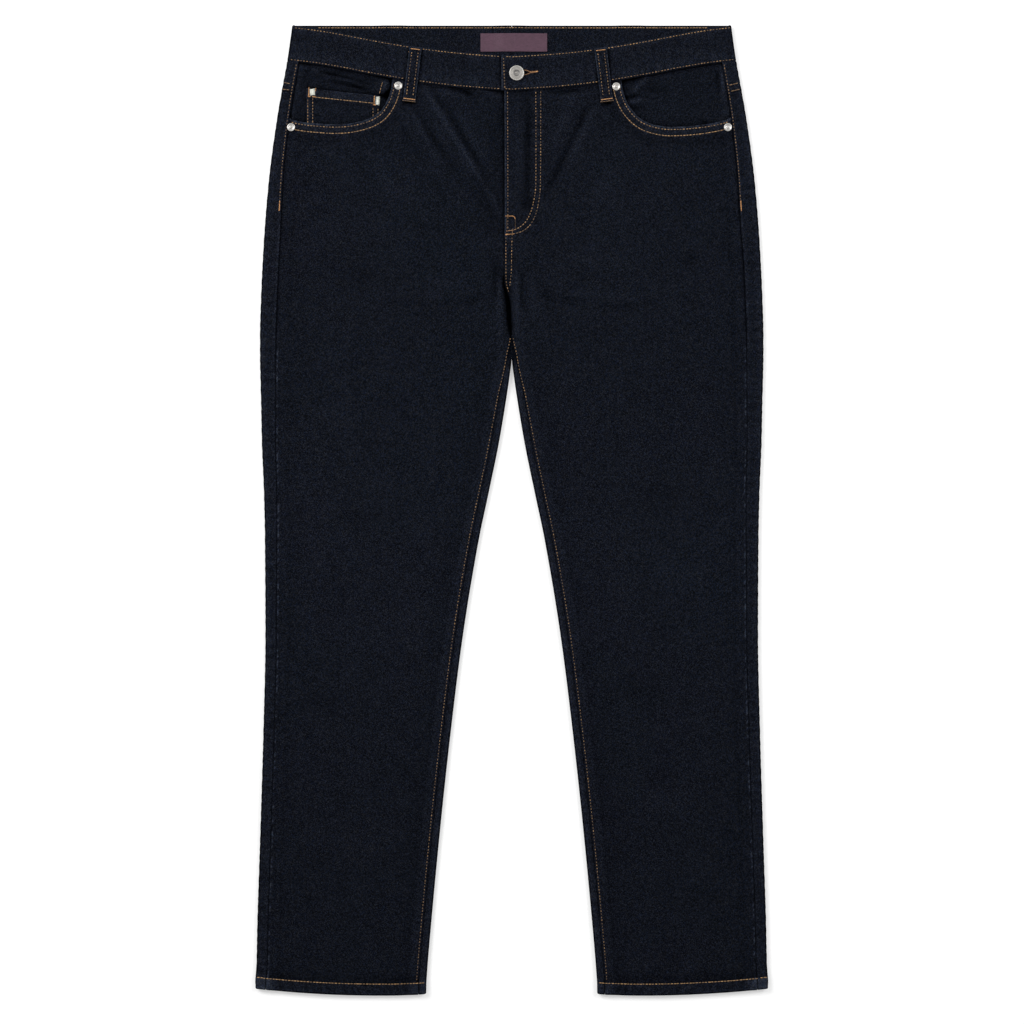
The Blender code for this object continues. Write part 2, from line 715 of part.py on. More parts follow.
def build_rivets():
    rim = RIVET_RADIUS
    profile = [
        (0.0, 0.0), (rim * 0.94, 0.0), (rim, 0.0004), (rim * 0.92, 0.0009), (rim * 0.66, 0.0011),
        (rim * 0.50, 0.0006), (rim * 0.34, 0.0007), (rim * 0.22, 0.0013), (0.0, 0.0015),
    ]
    for number, (x, down) in enumerate(RIVET_PLACES, start=1):
        name = "rivet_" + str(number)
        turned(name, profile, x, down, front_height(x, down) + SEAM_GAP, 18)
        finish(name, "metal", 0.35, 1.0, (0.35, 0.34, 0.33))


# the garment

for word, side in (("left", 1), ("right", -1)):
    build_front(word, side)
    build_back(word, side)
    build_yoke(word, side)
    waistband = build_waistband(word, side)
    if side > 0:
        cut_buttonhole(waistband)
    build_facing(word, side)
    build_back_pocket(word, side)
    build_front_loop(word, side)
    build_rear_loop("belt_loop_side_" + word, side * SIDE_LOOP_X)
build_rear_loop("belt_loop_back", 0.0)
build_coin_pocket()
build_zip()
build_label()
build_button()
build_rivets()
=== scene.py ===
import math
import bpy
import numpy as np
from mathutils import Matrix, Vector


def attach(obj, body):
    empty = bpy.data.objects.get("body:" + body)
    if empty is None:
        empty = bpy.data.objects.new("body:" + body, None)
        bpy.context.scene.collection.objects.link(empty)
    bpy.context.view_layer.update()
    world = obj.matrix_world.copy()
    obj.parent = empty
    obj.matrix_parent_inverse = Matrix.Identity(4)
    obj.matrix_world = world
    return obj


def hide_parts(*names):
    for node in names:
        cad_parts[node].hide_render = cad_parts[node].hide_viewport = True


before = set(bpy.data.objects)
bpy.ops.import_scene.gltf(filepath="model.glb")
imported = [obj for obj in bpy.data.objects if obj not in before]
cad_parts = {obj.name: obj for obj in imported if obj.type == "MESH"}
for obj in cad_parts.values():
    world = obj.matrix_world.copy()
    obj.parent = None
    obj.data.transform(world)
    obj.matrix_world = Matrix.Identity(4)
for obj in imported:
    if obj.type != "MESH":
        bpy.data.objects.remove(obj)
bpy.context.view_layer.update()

mm = 0.001
sideWord = {1: "left", -1: "right"}

# the garment's own sizes, in metres, as the panels were cut

garment = {
    "length": 1.0573,          # waistband's top edge to the lowest point of the hem
    "wall": 0.0010,            # denim
    "gap": 0.0003,             # between neighbouring pieces
    "bandWall": 0.0020,
    "bandWidth": 0.0384,
    "bandProud": 0.0005,
    "hemWall": 0.0024,
    "hemDepth": 0.0130,
    "crotch": 0.337,
    "apex": 0.362,             # top of the gap between the legs
    "yokeCentre": 0.112,
    "yokeSide": 0.072,
    "centreShift": -0.004,
    "lapEdge": -0.0111,
    "underlapEdge": 0.025,
    "flyEnd": 0.228,
    "underlapFront": 0.0015,
    "loopWidth": 0.0125,
}
length, gap, clothWall, bandWidth, crotch, apex, centreShift, lapEdge, flyEnd = (garment[name] for name in (
    "length", "gap", "wall", "bandWidth", "crotch", "apex", "centreShift", "lapEdge", "flyEnd"))
hemTop = length - garment["hemDepth"]
layer = clothWall + gap
bandLayer = garment["bandWall"] + gap

# one row is one section across the legs, in millimetres
sectionColumns = ("down", "half", "inner", "outseam", "inseam", "highIn", "highMid", "highOut")
sections = (
    (0.0, 239.3, 0.15, 12.5, 0.0, 7.6, 6.2, 5.4),
    (38.0, 244.8, 0.15, 13.0, 0.0, 7.6, 6.2, 5.4),
    (72.0, 251.0, 0.15, 13.3, 0.0, 7.3, 6.0, 5.2),
    (100.0, 255.8, 0.15, 13.8, 0.0, 6.3, 5.6, 5.0),
    (168.0, 264.9, 0.15, 15.6, 0.0, 5.3, 5.4, 5.0),
    (234.0, 270.3, 0.15, 18.0, 0.0, 4.7, 5.4, 5.0),
    (300.0, 273.6, 0.15, 18.0, 0.0, 4.0, 5.4, 5.0),
    (337.0, 274.6, 0.15, 17.6, 0.2, 4.0, 5.3, 5.0),
    (362.0, 274.6, 0.15, 17.2, 5.0, 4.6, 5.2, 5.0),
    (381.0, 274.2, 2.2, 16.7, 6.3, 4.7, 5.1, 5.0),
    (404.0, 273.6, 5.5, 16.0, 8.0, 4.8, 5.0, 5.0),
    (456.0, 272.5, 14.2, 14.8, 8.2, 4.8, 4.8, 5.0),
    (509.0, 270.3, 25.1, 13.7, 8.2, 4.8, 4.7, 5.0),
    (561.0, 269.2, 36.0, 12.5, 8.2, 4.8, 4.7, 5.0),
    (666.0, 268.7, 53.4, 11.4, 8.2, 4.8, 4.6, 5.0),
    (770.0, 270.9, 66.5, 11.1, 8.2, 4.8, 4.6, 5.0),
    (875.0, 274.1, 77.9, 10.9, 8.2, 4.8, 4.6, 5.0),
    (979.0, 277.4, 87.7, 10.9, 8.2, 4.8, 4.6, 5.0),
    (1036.0, 278.6, 92.4, 10.9, 8.2, 5.0, 4.8, 5.2),
    (1046.0, 279.6, 93.0, 10.9, 8.2, 6.2, 6.0, 6.2),
    (1057.3, 279.6, 93.2, 10.9, 8.2, 6.2, 6.0, 6.2),
)
bandTopEdge = ((0.0, 33.0), (50.0, 29.6), (100.0, 23.8), (150.0, 15.4), (190.0, 7.7), (216.0, 3.4),
               (245.0, 0.0))
centreSeam = ((60.0, -8.1), (110.0, -7.8), (203.0, -7.6), (262.0, -7.9), (279.0, -7.7), (286.0, -6.1), (292.0, -4.0),
              (299.0, -1.9), (306.0, -1.1), (318.0, -0.5), (331.0, 0.1), (337.0, 0.35))
seamLean = {                           # the outseam is not quite even
    1: ((80.0, 2.9), (185.0, 3.0), (218.0, 2.0), (262.0, 1.1), (1000.0, 1.0)),
    -1: ((300.0, 0.0), (600.0, 0.6), (1000.0, 0.9)),
}
mouthScoop = ((123.3, 57.0), (126.0, 97.0), (149.0, 108.6), (190.0, 108.4))
mouthSide = ((190.0, 108.4), (207.0, 108.2), (224.0, 104.5), (238.0, 100.0))
mouthSag = {
    1: ((124.0, 0.3), (132.0, 1.0), (144.0, 2.6), (166.0, 2.8), (185.0, 1.8), (198.0, 1.5), (212.0, 1.8),
        (234.0, 2.7)),
    -1: ((140.0, 0.0), (150.0, -1.0), (163.0, -1.2), (180.0, -0.6), (209.0, -0.4), (217.0, 0.2), (229.0, 1.2),
         (242.0, 2.0)),
}
mouthPull = {1: 0.0, -1: 0.0027}       # how far the upper end leans out


def mix(a, b, t):
    return a + (b - a) * t


def ramp(start, end, value):
    return np.clip((value - start) / (end - start), 0.0, 1.0)


def ease(start, end, value):
    t = ramp(start, end, value)
    return t * t * (3.0 - 2.0 * t)


def hump(value, middle, width):
    return np.exp(-(((value - middle) / width) ** 2))


def humps(value, rows):  # each row is (amount, middle, width)
    return sum(amount * hump(value, middle, width) for amount, middle, width in rows)


def between(value, rise, fall):  # fades in over one stretch and out over another
    return ease(*rise, value) * (1.0 - ease(*fall, value))


def streaks(across, down, rows):  # lines that run down the cloth: (amount, middle, width, fades in, fades out)
    return sum(amount * hump(across, middle, width) * between(down, rise, fall)
               for amount, middle, width, rise, fall in rows)


def spots(across, down, rows):  # (amount, across, its width, down, its width)
    return sum(amount * hump(across, x, wide) * hump(down, y, high) for amount, x, wide, y, high in rows)


def wave(value, pitch, phase=0.0):
    return np.sin(2 * np.pi * value / pitch + phase)


def grids(x, down):
    return np.broadcast_arrays(np.asarray(x, float), np.asarray(down, float))


def lineSteps(line):  # the length of each step along a line
    return np.hypot(*np.diff(line, axis=0).T)


def runsAlong(line):  # how far along a line each of its points lies
    return np.concatenate([[0.0], np.cumsum(lineSteps(line))])


def through(points, value):  # smooth, and never swings past its points
    spots = np.array(points, float)
    places, values = spots[:, 0], spots[:, 1]
    value = np.clip(np.asarray(value, float), places[0], places[-1])
    spans = np.diff(places)
    slopes = np.diff(values) / spans
    leans = np.zeros(len(places))
    leans[0], leans[-1] = slopes[0], slopes[-1]
    same = slopes[:-1] * slopes[1:] > 0
    sums = np.where(same, slopes[:-1] + slopes[1:], 1.0)
    leans[1:-1] = np.where(same, 2.0 * slopes[:-1] * slopes[1:] / sums, 0.0)
    k = np.clip(np.searchsorted(places, value, side="right") - 1, 0, len(spans) - 1)
    t = (value - places[k]) / spans[k]
    start = values[k] * (2 * t**3 - 3 * t**2 + 1) + spans[k] * leans[k] * (t**3 - 2 * t**2 + t)
    return start + values[k + 1] * (3 * t**2 - 2 * t**3) + spans[k] * leans[k + 1] * (t**3 - t**2)


sectionCurves = {name: [(row[0] * mm, row[k] * mm) for row in sections]
                 for k, name in enumerate(sectionColumns)}
bandCurve = [(x * mm, down * mm) for x, down in bandTopEdge]
centreCurve = [(down * mm, x * mm) for down, x in centreSeam]
seamLeans = {side: [(down * mm, lean * mm) for down, lean in rows] for side, rows in seamLean.items()}


def section(name, down):
    return through(sectionCurves[name], down)


def bandTopDown(x):
    return through(bandCurve, np.abs(x))


def bandLowDown(x):
    return bandTopDown(x) + bandWidth


def slantedDown(x, centre, side):
    return mix(centre, side, np.minimum(1.0, np.abs(x) / section("half", side)))


def yokeSeamDown(x):
    return slantedDown(x, garment["yokeCentre"], garment["yokeSide"])


def outseamX(down, side):
    return section("half", down) - section("outseam", down) - through(seamLeans[side], down)


def inseamX(down):
    return section("inner", down) + section("inseam", down)


def centreX(down):
    return through(centreCurve, down)


def bezier(points, steps):
    a, b, c, d = (np.array(p) * mm for p in points)
    t = np.linspace(0.0, 1.0, steps + 1)[:, None]
    return a * (1 - t) ** 3 + 3 * b * t * (1 - t) ** 2 + 3 * c * t * t * (1 - t) + d * t**3


def mouthEdge(side):  # from the waistband to the outseam, distances from the middle
    line = np.vstack([bezier(mouthScoop, 40), bezier(mouthSide, 20)[1:]]) + [side * centreShift, 0.0]
    sag = through([(x * mm, drop * mm) for x, drop in mouthSag[side]], line[:, 0])
    pull = mouthPull[side] * (1.0 - ease(0.086, 0.107, line[:, 1]))
    return line + np.stack([pull, sag], axis=1)


def hemRise(x):
    away = np.abs(x) - 0.140
    return np.where(away > 0, 0.0076 * (away / 0.140) ** 2, 0.0018 * (away / 0.047) ** 2)


def place(x, down, high):  # rows follow the hem's curve near it
    x, down, high = np.broadcast_arrays(np.asarray(x, float), down, high)
    y = length / 2 - down + hemRise(x) * ease(0.900, hemTop, down)
    return np.stack([x, y, high], axis=-1)


# creases in the cloth, in millimetres: x and down at the start, middle and end, half the width, and the height.
# A positive height is a soft ridge, a negative one a trough

frontCreases = (
    (-99, 64, -64, 116, -6, 216, 2.8, 1.55),        # from the right belt loop to the fly
    (-90, 68, -58, 108, -22, 176, 3.4, -1.10),
    (-109, 84, -88, 122, -50, 176, 3.6, -0.85),
    (-118, 80, -100, 114, -74, 154, 2.8, 0.85),
    (-128, 92, -114, 124, -92, 158, 3.4, -0.55),
    (-126, 88, -122, 96, -112, 112, 3.5, 0.54),
    (-88, 71, -70, 74, -50, 80, 2.6, 0.70),         # small tucks below the waistband
    (-70, 67, -54, 71, -36, 78, 2.6, -1.20),
    (-40, 70, -28, 72, -12, 78, 2.6, 1.05),
    (-36, 70, -24, 70, -8, 74, 1.8, -0.78),
    (-62, 92, -40, 132, -22, 160, 6.0, 0.46),
    (-40, 150, -30, 185, -16, 214, 6.0, -0.54),
    (87, 80, 68, 122, 33, 192, 3.8, -1.15),         # from the left belt loop to the fly's end
    (92, 82, 76, 122, 50, 170, 5.5, 0.70),
    (70, 70, 58, 100, 44, 132, 4.5, 0.54),
    (36, 73, 60, 73, 87, 69, 2.0, -0.85),
    (40, 78, 60, 79, 82, 76, 2.6, 0.54),
    (21, 74, 17, 130, 17, 196, 4.0, -0.60),         # along the fly
    (10, 192, 18, 197, 26, 190, 4.0, -0.85),
    (6, 90, 9, 140, 8, 180, 4.0, 0.39),
    (-7, 270, -3, 305, 0, 345, 4.0, -1.60),         # the valley below the crotch seam
    (-21, 248, -18, 276, -17, 303, 4.5, -0.35),
    (-15, 260, -14, 290, -12, 330, 3.0, 0.60),
    (10, 252, 12, 284, 14, 316, 4.0, -0.30),
    (4, 262, 5, 296, 5, 345, 4.0, 0.45),
    (22, 268, 24, 292, 22, 322, 6.5, 0.45),
    (27, 272, 36, 292, 44, 304, 5.0, -0.45),
    (30, 288, 62, 306, 104, 303, 3.6, -0.40),
    (92, 306, 122, 309, 162, 301, 3.6, -0.36),
    (44, 286, 84, 298, 150, 296, 4.0, 0.24),
    (-14, 292, -56, 306, -98, 303, 3.2, -0.42),
    (-90, 304, -112, 306, -140, 299, 3.4, -0.34),
    (-40, 296, -76, 298, -130, 294, 3.4, 0.26),
    (-40, 268, -66, 286, -96, 290, 8.0, 0.29),
    (60, 246, 92, 262, 132, 262, 9.0, 0.29),
    (-200, 268, -168, 276, -140, 268, 9.0, -0.29),
    (214, 250, 190, 258, 158, 254, 9.0, -0.29),
    (-150, 160, -128, 172, -112, 196, 9.0, 0.39),
    (112, 158, 96, 176, 88, 202, 9.0, 0.39),
    (-230, 420, -196, 430, -160, 424, 10.0, 0.26),
    (-120, 520, -150, 540, -196, 536, 12.0, -0.26),
    (118, 505, 160, 520, 206, 512, 12.0, -0.26),
    (226, 590, 190, 604, 150, 598, 11.0, 0.26),
    (-86, 640, -120, 652, -170, 646, 11.0, 0.26),
    (-240, 730, -210, 742, -168, 738, 12.0, -0.23),
    (96, 716, 130, 730, 176, 724, 11.0, -0.26),
    (112, 840, 150, 852, 210, 846, 12.0, 0.23),
    (-120, 880, -160, 892, -214, 884, 12.0, 0.23),
)
pocketCreases = (
    (-212, 49, -186, 56, -148, 66, 2.2, -0.75),     # above the coin pocket
    (-198, 60, -178, 63, -150, 72, 2.4, -0.62),
    (-206, 53, -180, 59, -148, 66, 1.8, 0.50),
    (-140, 60, -136, 62, -130, 66, 2.4, 0.85),
    (-138, 70, -134, 73, -128, 80, 2.6, -0.80),
    (132, 73, 138, 64, 149, 55, 2.6, 0.75),
    (118, 79, 127, 79, 140, 75, 2.2, -0.62),
    (126, 84, 134, 82, 145, 80, 2.2, 0.80),
    (128, 88, 136, 90, 146, 89, 2.2, -0.42),
    (138, 72, 152, 67, 174, 70, 4.5, -0.30),
    (229, 42, 231, 62, 230, 82, 2.6, 0.60),
    (224, 46, 226, 60, 225, 76, 2.6, -0.50),
    (228, 90, 230, 98, 230, 108, 3.0, 0.40),
    (222, 104, 214, 106, 202, 105, 3.0, -0.22),
)
backCreases = (
    (24, 130, 30, 210, 60, 268, 9.0, 0.9),          # below the seat
    (60, 322, 110, 336, 170, 330, 8.0, 1.0),
    (40, 346, 96, 366, 150, 362, 8.0, 0.8),
    (90, 398, 140, 410, 210, 402, 10.0, 0.7),
    (70, 536, 120, 556, 200, 548, 10.0, 0.9),       # behind the knee
    (96, 580, 150, 596, 226, 588, 9.0, 1.0),
    (86, 624, 140, 634, 206, 628, 10.0, 0.7),
    (120, 770, 170, 786, 226, 780, 12.0, 0.6),
    (130, 920, 180, 934, 236, 928, 12.0, 0.6),
)


def alongLine(x, down, line):  # distance to a line and the share of the way along it
    best = np.full(x.shape, 1e9)
    share = np.zeros(x.shape)
    steps = len(line) - 1
    for k in range(steps):
        ax, ay = line[k]
        bx, by = line[k + 1]
        dx, dy = bx - ax, by - ay
        size = max(dx * dx + dy * dy, 1e-12)
        t = np.clip(((x - ax) * dx + (down - ay) * dy) / size, 0.0, 1.0)
        away = np.hypot(x - ax - t * dx, down - ay - t * dy)
        nearer = away < best
        best = np.where(nearer, away, best)
        share = np.where(nearer, (k + t) / steps, share)
    return best, share


def creaseHeight(x, down, table):
    x, down = grids(x, down)
    total = np.zeros(x.shape)
    for number, row in enumerate(table):
        xs, ds, xm, dm, xe, de, width, height = (value * mm for value in row)
        t = np.linspace(0.0, 1.0, 13)
        line = np.stack([xs * (1 - t) ** 2 + 2 * xm * t * (1 - t) + xe * t * t,
                         ds * (1 - t) ** 2 + 2 * dm * t * (1 - t) + de * t * t], axis=1)
        reach = 2.6 * width
        near = (x > line[:, 0].min() - reach) & (x < line[:, 0].max() + reach)
        near &= (down > line[:, 1].min() - reach) & (down < line[:, 1].max() + reach)
        if not near.any():
            continue
        away, share = alongLine(x[near], down[near], line)
        swell = np.sin(np.pi * np.clip(share, 0.0, 1.0)) ** 0.7
        uneven = 1.0 + 0.22 * np.sin(share * (9.0 + number % 5) + number)
        total[near] += height * swell * uneven * hump(away, 0.0, width)
    return total


def waviness(x, down, size, seed):  # smooth uneven ups and downs, from -1 to 1
    x, down = grids(x, down)
    made = np.zeros(x.shape)
    rng = np.random.default_rng(seed)
    for _ in range(9):
        turn = rng.uniform(0.0, 2.0 * np.pi)
        pitch = size * rng.uniform(0.7, 1.7)
        phase = rng.uniform(0.0, 2.0 * np.pi)
        made += np.sin(2.0 * np.pi * (x * np.cos(turn) + down * np.sin(turn)) / pitch + phase)
    return made / 4.0


# heights of the cloth's outer faces

def frontHeight(x, down):
    inner = section("inner", down)
    across = (np.abs(x) - inner) / (section("half", down) - inner)
    highIn, highMid, highOut = (section(name, down) for name in ("highIn", "highMid", "highOut"))
    return mix(mix(highIn, highMid, ease(0.0, 0.32, across)), highOut, ease(0.62, 0.93, across))


def softSwell(x, down):  # what all layers of the front share
    x, down = grids(x, down)
    toFold = section("half", down) - np.abs(x)
    inside = ease(0.002, 0.030, toFold)
    fromTop = ease(0.050, 0.100, down)
    soft = 0.00022 * waviness(x, down, 0.090, 3) + 0.00012 * waviness(x, down, 0.034, 8)
    return creaseHeight(x, down, frontCreases) + soft * inside * mix(0.35, 1.0, fromTop)


def frontFace(x, down):
    return frontHeight(x, down) + softSwell(x, down)


def rightDrop(x, down):  # the right front lies a layer lower beside the fly
    besideFly = 1.0 - ramp(flyEnd - 0.004, flyEnd + 0.022, down)
    return layer * ramp(-0.040, -0.014, x) * besideFly


# the waistband is stiffer than the panels, and crowned between its stitch rows

def bandSwell(x, down):
    across = (down - bandTopDown(x)) / bandWidth
    crown = 0.00045 * np.sin(np.pi * np.clip((across - 0.05) / 0.9, 0.0, 1.0))
    soft = 0.00020 * waviness(x, down, 0.060, 21) + 0.00010 * waviness(x, down, 0.022, 22)
    return crown + soft


def bandFace(x, down):
    return frontHeight(x, down) + garment["bandProud"] + bandSwell(x, down)


def rightBandDrop(x):  # x is a distance from the middle here
    return bandLayer * (1.0 - ramp(0.012, 0.050, x))


backPocket = {"inner": 0.052, "outer": 0.192, "top": 0.140, "side": 0.272, "tip": 0.295, "taper": 0.008}
sideLoopX = 0.130
rearLoopPlaces = (-sideLoopX, 0.0, sideLoopX)
rearLoopBottom = 0.060


def raisedOverTrim(x, down):
    x, down = grids(np.abs(x), down)
    past = np.maximum.reduce([backPocket["inner"] - x, x - backPocket["outer"],
                              backPocket["top"] - down, down - backPocket["tip"]])
    overPocket = 1.0 - ramp(0.013, 0.022, past)
    beside = np.minimum(x, np.abs(x - sideLoopX)) - garment["loopWidth"] / 2
    overLoop = (1.0 - ramp(0.003, 0.014, beside)) * (1.0 - ramp(0.008, 0.020, down - rearLoopBottom))
    return layer * np.maximum(overPocket, overLoop)


def backFace(x, down):  # the hidden side, with its own shallow folds
    folds = creaseHeight(np.abs(x), down, backCreases)
    raised = raisedOverTrim(x, down)
    size = np.abs(x)
    clear = ease(0.006, 0.030, section("half", down) - size) * ease(0.003, 0.02, size - section("inner", down))
    return raised + folds * clear * (1.0 - raised / layer)


# cloth shells

def newThing(name, points, faces):
    mesh = bpy.data.meshes.new(name)
    mesh.from_pydata(points, [], faces)
    thing = bpy.data.objects.new(name, mesh)
    bpy.context.scene.collection.objects.link(thing)
    return thing


def keepValues(thing, name, values):  # a number at each point, for the finishes to read
    made = thing.data.attributes.new(name, "FLOAT", "POINT")
    made.data.foreach_set("value", np.asarray(values).astype(np.float32))


def shadeRound(thing):
    thing.data.polygons.foreach_set("use_smooth", np.ones(len(thing.data.polygons), bool))
    thing.data.update()


edgeWear = 0.20                        # how much paler a cut edge is than the cloth beside it


def shell(name, points, quads, wall, wearAndShading=None, rounded=4):
    # a closed wall behind an outer face, with its cut edges turned over like a fold
    points = np.asarray(points, float)
    quads = np.asarray(quads, int)
    count = len(points)
    wall = np.broadcast_to(np.asarray(wall, float), (count,)).copy()
    wearAndShading = np.zeros(count) if wearAndShading is None else np.asarray(wearAndShading, float)
    corners = points[quads]
    faceNormals = np.cross(corners[:, 2] - corners[:, 0], corners[:, 3] - corners[:, 1])
    normals = np.zeros((count, 3))
    for k in range(4):
        np.add.at(normals, quads[:, k], faceNormals)
    normals /= np.maximum(np.linalg.norm(normals, axis=1, keepdims=True), 1e-12)
    a = quads.ravel()
    b = np.roll(quads, -1, axis=1).ravel()
    keys = a.astype(np.int64) * count + b
    border = ~np.isin(b.astype(np.int64) * count + a, keys) & (a != b)
    a, b = a[border], b[border]
    along = points[b] - points[a]
    along /= np.maximum(np.linalg.norm(along, axis=1, keepdims=True), 1e-12)
    out = np.zeros((count, 3))
    for ends in (a, b):
        np.add.at(out, ends, np.cross(along, normals[ends]))
    rim = np.unique(np.concatenate([a, b]))
    away = out[rim] - normals[rim] * np.sum(out[rim] * normals[rim], axis=1, keepdims=True)
    away /= np.maximum(np.linalg.norm(away, axis=1, keepdims=True), 1e-12)
    radius = wall[rim][:, None] / 2
    outer = points.copy()
    outer[rim] -= away * radius
    inner = outer - normals * wall[:, None]
    rings = [outer[rim] - normals[rim] * radius
             + radius * (math.cos(turn) * normals[rim] + math.sin(turn) * away)
             for turn in (math.pi * (k + 1) / (rounded + 1) for k in range(rounded))]
    allPoints = np.vstack([outer, inner, *rings])
    index = np.full(count, -1)
    index[rim] = np.arange(len(rim))
    rims = [2 * count + k * len(rim) + index for k in range(rounded)]
    levels = [np.arange(count), *rims, np.arange(count) + count]
    faces = [quads, quads[:, ::-1] + count]
    for upper, lower in zip(levels, levels[1:]):
        faces.append(np.stack([upper[b], upper[a], lower[a], lower[b]], axis=1))
    thing = newThing(name, allPoints.tolist(), np.vstack(faces).tolist())
    thing.data.validate()
    keepValues(thing, "wearAndShading", np.concatenate([wearAndShading, np.zeros(count), *[wearAndShading[rim] + edgeWear] * rounded]))
    shadeRound(thing)
    return thing


def gridShell(name, points, wall, wearAndShading=None, keep=None, flip=False, rounded=4):
    rows, columns = points.shape[:2]
    index = np.arange(rows * columns).reshape(rows, columns)
    quads = np.stack([index[:-1, :-1], index[:-1, 1:], index[1:, 1:], index[1:, :-1]], axis=-1)
    quads = quads[keep] if keep is not None else quads.reshape(-1, 4)
    quads = quads[:, ::-1] if flip else quads
    used = np.unique(quads)
    renumber = np.full(rows * columns, -1)
    renumber[used] = np.arange(len(used))
    flat = points.reshape(-1, 3)[used]
    wall = np.broadcast_to(wall, (rows, columns)).reshape(-1)[used]
    wearAndShading = None if wearAndShading is None else np.broadcast_to(wearAndShading, (rows, columns)).reshape(-1)[used]
    return shell(name, flat, renumber[quads], wall, wearAndShading, rounded)


def spaced(start, end, step, fineStart=(), fineEnd=()):
    # places from start to end: fine ones by each end, then even steps between
    low = start + (fineStart[-1] if len(fineStart) else 0.0)
    high = end - (fineEnd[-1] if len(fineEnd) else 0.0)
    count = max(2, int(round((high - low) / step)) + 1)
    middle = np.linspace(low, high, count)
    head = [start] + [start + f for f in fineStart[:-1]] if len(fineStart) else []
    tail = [end - f for f in reversed(fineEnd[:-1])] + [end] if len(fineEnd) else []
    return np.array([*head, *middle, *tail])


sheets = {                             # node, flat width and length, how it lies, its area, what it rests on
    "frontCloth": ("front", (0.285, 1.02), "laid", 0.2120, ()),
    "backCloth": ("back", (0.345, 1.0), "folded", 0.2450, ()),
    "yokeCloth": ("yoke", (0.275, 0.078), "folded", 0.0140, ()),
    "waistbandCloth": ("waistband", (0.545, 0.042), "folded", 0.0205, ()),
    "facingCloth": ("pocket_facing", (0.140, 0.072), "laid", 0.0083, ()),
    "coinPocketCloth": ("coin_pocket", (0.0802, 0.0470), "laid", 0.0034, ("facingCloth_right",)),
    "backPocketCloth": ("back_pocket", (0.155, 0.160), "laid", 0.0200, ()),
    "loopCloth_front": ("belt_loop_front", (0.0125, 0.0625), "folded", None, ()),
    "loopCloth_side": ("belt_loop_side", (0.0125, 0.0590), "folded", None, ()),
    "loopCloth_back": ("belt_loop_back", (0.0125, 0.0590), "folded", None, ()),
    "wovenLabel": ("label", (0.0738, 0.0210), "laid", None, ("waistbandCloth_left",)),
    "zipTape": ("fly_zip", (0.0245, 0.1414), "folded", None, ()),
}


def cloth(piece, side, points, wall, wearAndShading, material, slotName="denim", **how):
    # side is 1 or -1 for a piece of a pair, and 0 for a single one
    word = "_" + sideWord[side] if side else ""
    node, flat, held, area, restsOn = sheets[piece]
    thing = gridShell(piece + word, points, wall, wearAndShading, **how)
    thing.data.materials.append(material)
    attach(thing, "root")
    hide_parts(node + word)
    return thing


# rows of topstitching, each a path over the flat garment as (x, down)

def resampled(line, step):
    line = np.asarray(line, float)
    runs = runsAlong(line)
    count = max(2, int(round(runs[-1] / step)) + 1)
    at = np.linspace(0.0, runs[-1], count)
    return np.stack([np.interp(at, runs, line[:, 0]), np.interp(at, runs, line[:, 1])], axis=1)


def beside(line, away):  # the same path, moved sideways
    line = np.asarray(line, float)
    lean = np.gradient(line, axis=0)
    lean /= np.maximum(np.linalg.norm(lean, axis=1, keepdims=True), 1e-12)
    return line + away * np.stack([-lean[:, 1], lean[:, 0]], axis=1)


def byDown(xAt, start, end, steps=120):
    downs = np.linspace(start, end, steps)
    return np.stack([np.broadcast_to(xAt(downs), downs.shape), downs], axis=1)


def byAcross(downAt, start, end, steps=120):
    xs = np.linspace(start, end, steps)
    return np.stack([xs, np.broadcast_to(downAt(xs), xs.shape)], axis=1)


def millimetres(*points):
    return np.array(points, float) * mm


def rounded(points, steps=10):  # a soft path through a few points
    points = np.asarray(points, float)
    runs = runsAlong(points)
    at = np.linspace(0.0, runs[-1], steps * len(points))
    return np.stack([through(list(zip(runs, points[:, k])), at) for k in (0, 1)], axis=1)


def mirror(line):
    return np.asarray(line) * np.array([-1.0, 1.0])


def frontInner(down, side):  # the front's inner edge, as a distance from the middle
    down = np.asarray(down, float)
    leg = inseamX(down) + gap / 2
    under = mix(-garment["underlapFront"], gap - centreX(down),
                ramp(flyEnd - 0.020, flyEnd, down))
    middle = centreX(down) if side > 0 else under
    return mix(middle, leg, ease(crotch - 0.004, crotch, down))


def frontOuter(down, side):
    return outseamX(down, side) - gap / 2


def mouthLine(side):  # the part of the mouth that shows below the waistband
    line = mouthEdge(side)
    line = line[line[:, 1] > bandLowDown(line[:, 0]) + gap + 0.0004]
    line = line[line[:, 0] < frontOuter(line[:, 1], side) - 0.0015]
    start = line[0, 0] - 0.0001
    return np.vstack([[start, bandLowDown(start) + gap], line, [frontOuter(0.100, side), 0.100]])


stitching = {
    "pitch": 0.0034,
    "radius": 0.00041,
    "looks": {                         # length of a stitch, and the lowest and highest of its tones
        "faint": (0.0020, 0.00, 0.55, 1.6),
        "dull": (0.0021, 0.02, 0.82, 1.6),
        "plain": (0.0024, 0.08, 0.86, 1.4),
        "bright": (0.0032, 0.22, 0.90, 1.0),
        "drawn": (0.0037, 0.08, 0.40, 1.0),
    },
    "mouthRows": (0.0030, 0.0098),     # from the pocket mouth's fold
    "bandRow": 0.0017,                 # from the waistband's edges
    "inseamRow": (0.0009, 0.0026),     # at the crotch and further down
    "outseamRow": {1: 0.0017, -1: 0.0021},
    "outseamEnd": 0.1908,
    "flyRow": 0.0034,
    "hemRow": 0.0127,                  # above the hem's edge
    "wrapHemDrop": 0.0003,             # how much lower the same row lies on the back's strip
    "yokeRows": (0.0022, 0.0090),
    "seatRows": (0.0022, 0.0088),
    "loopClear": 0.0056,               # rows stop where a loop covers them
    "bandEndRadius": 0.00062, "coinRadius": 0.00036, "facingRadius": 0.00024,
}


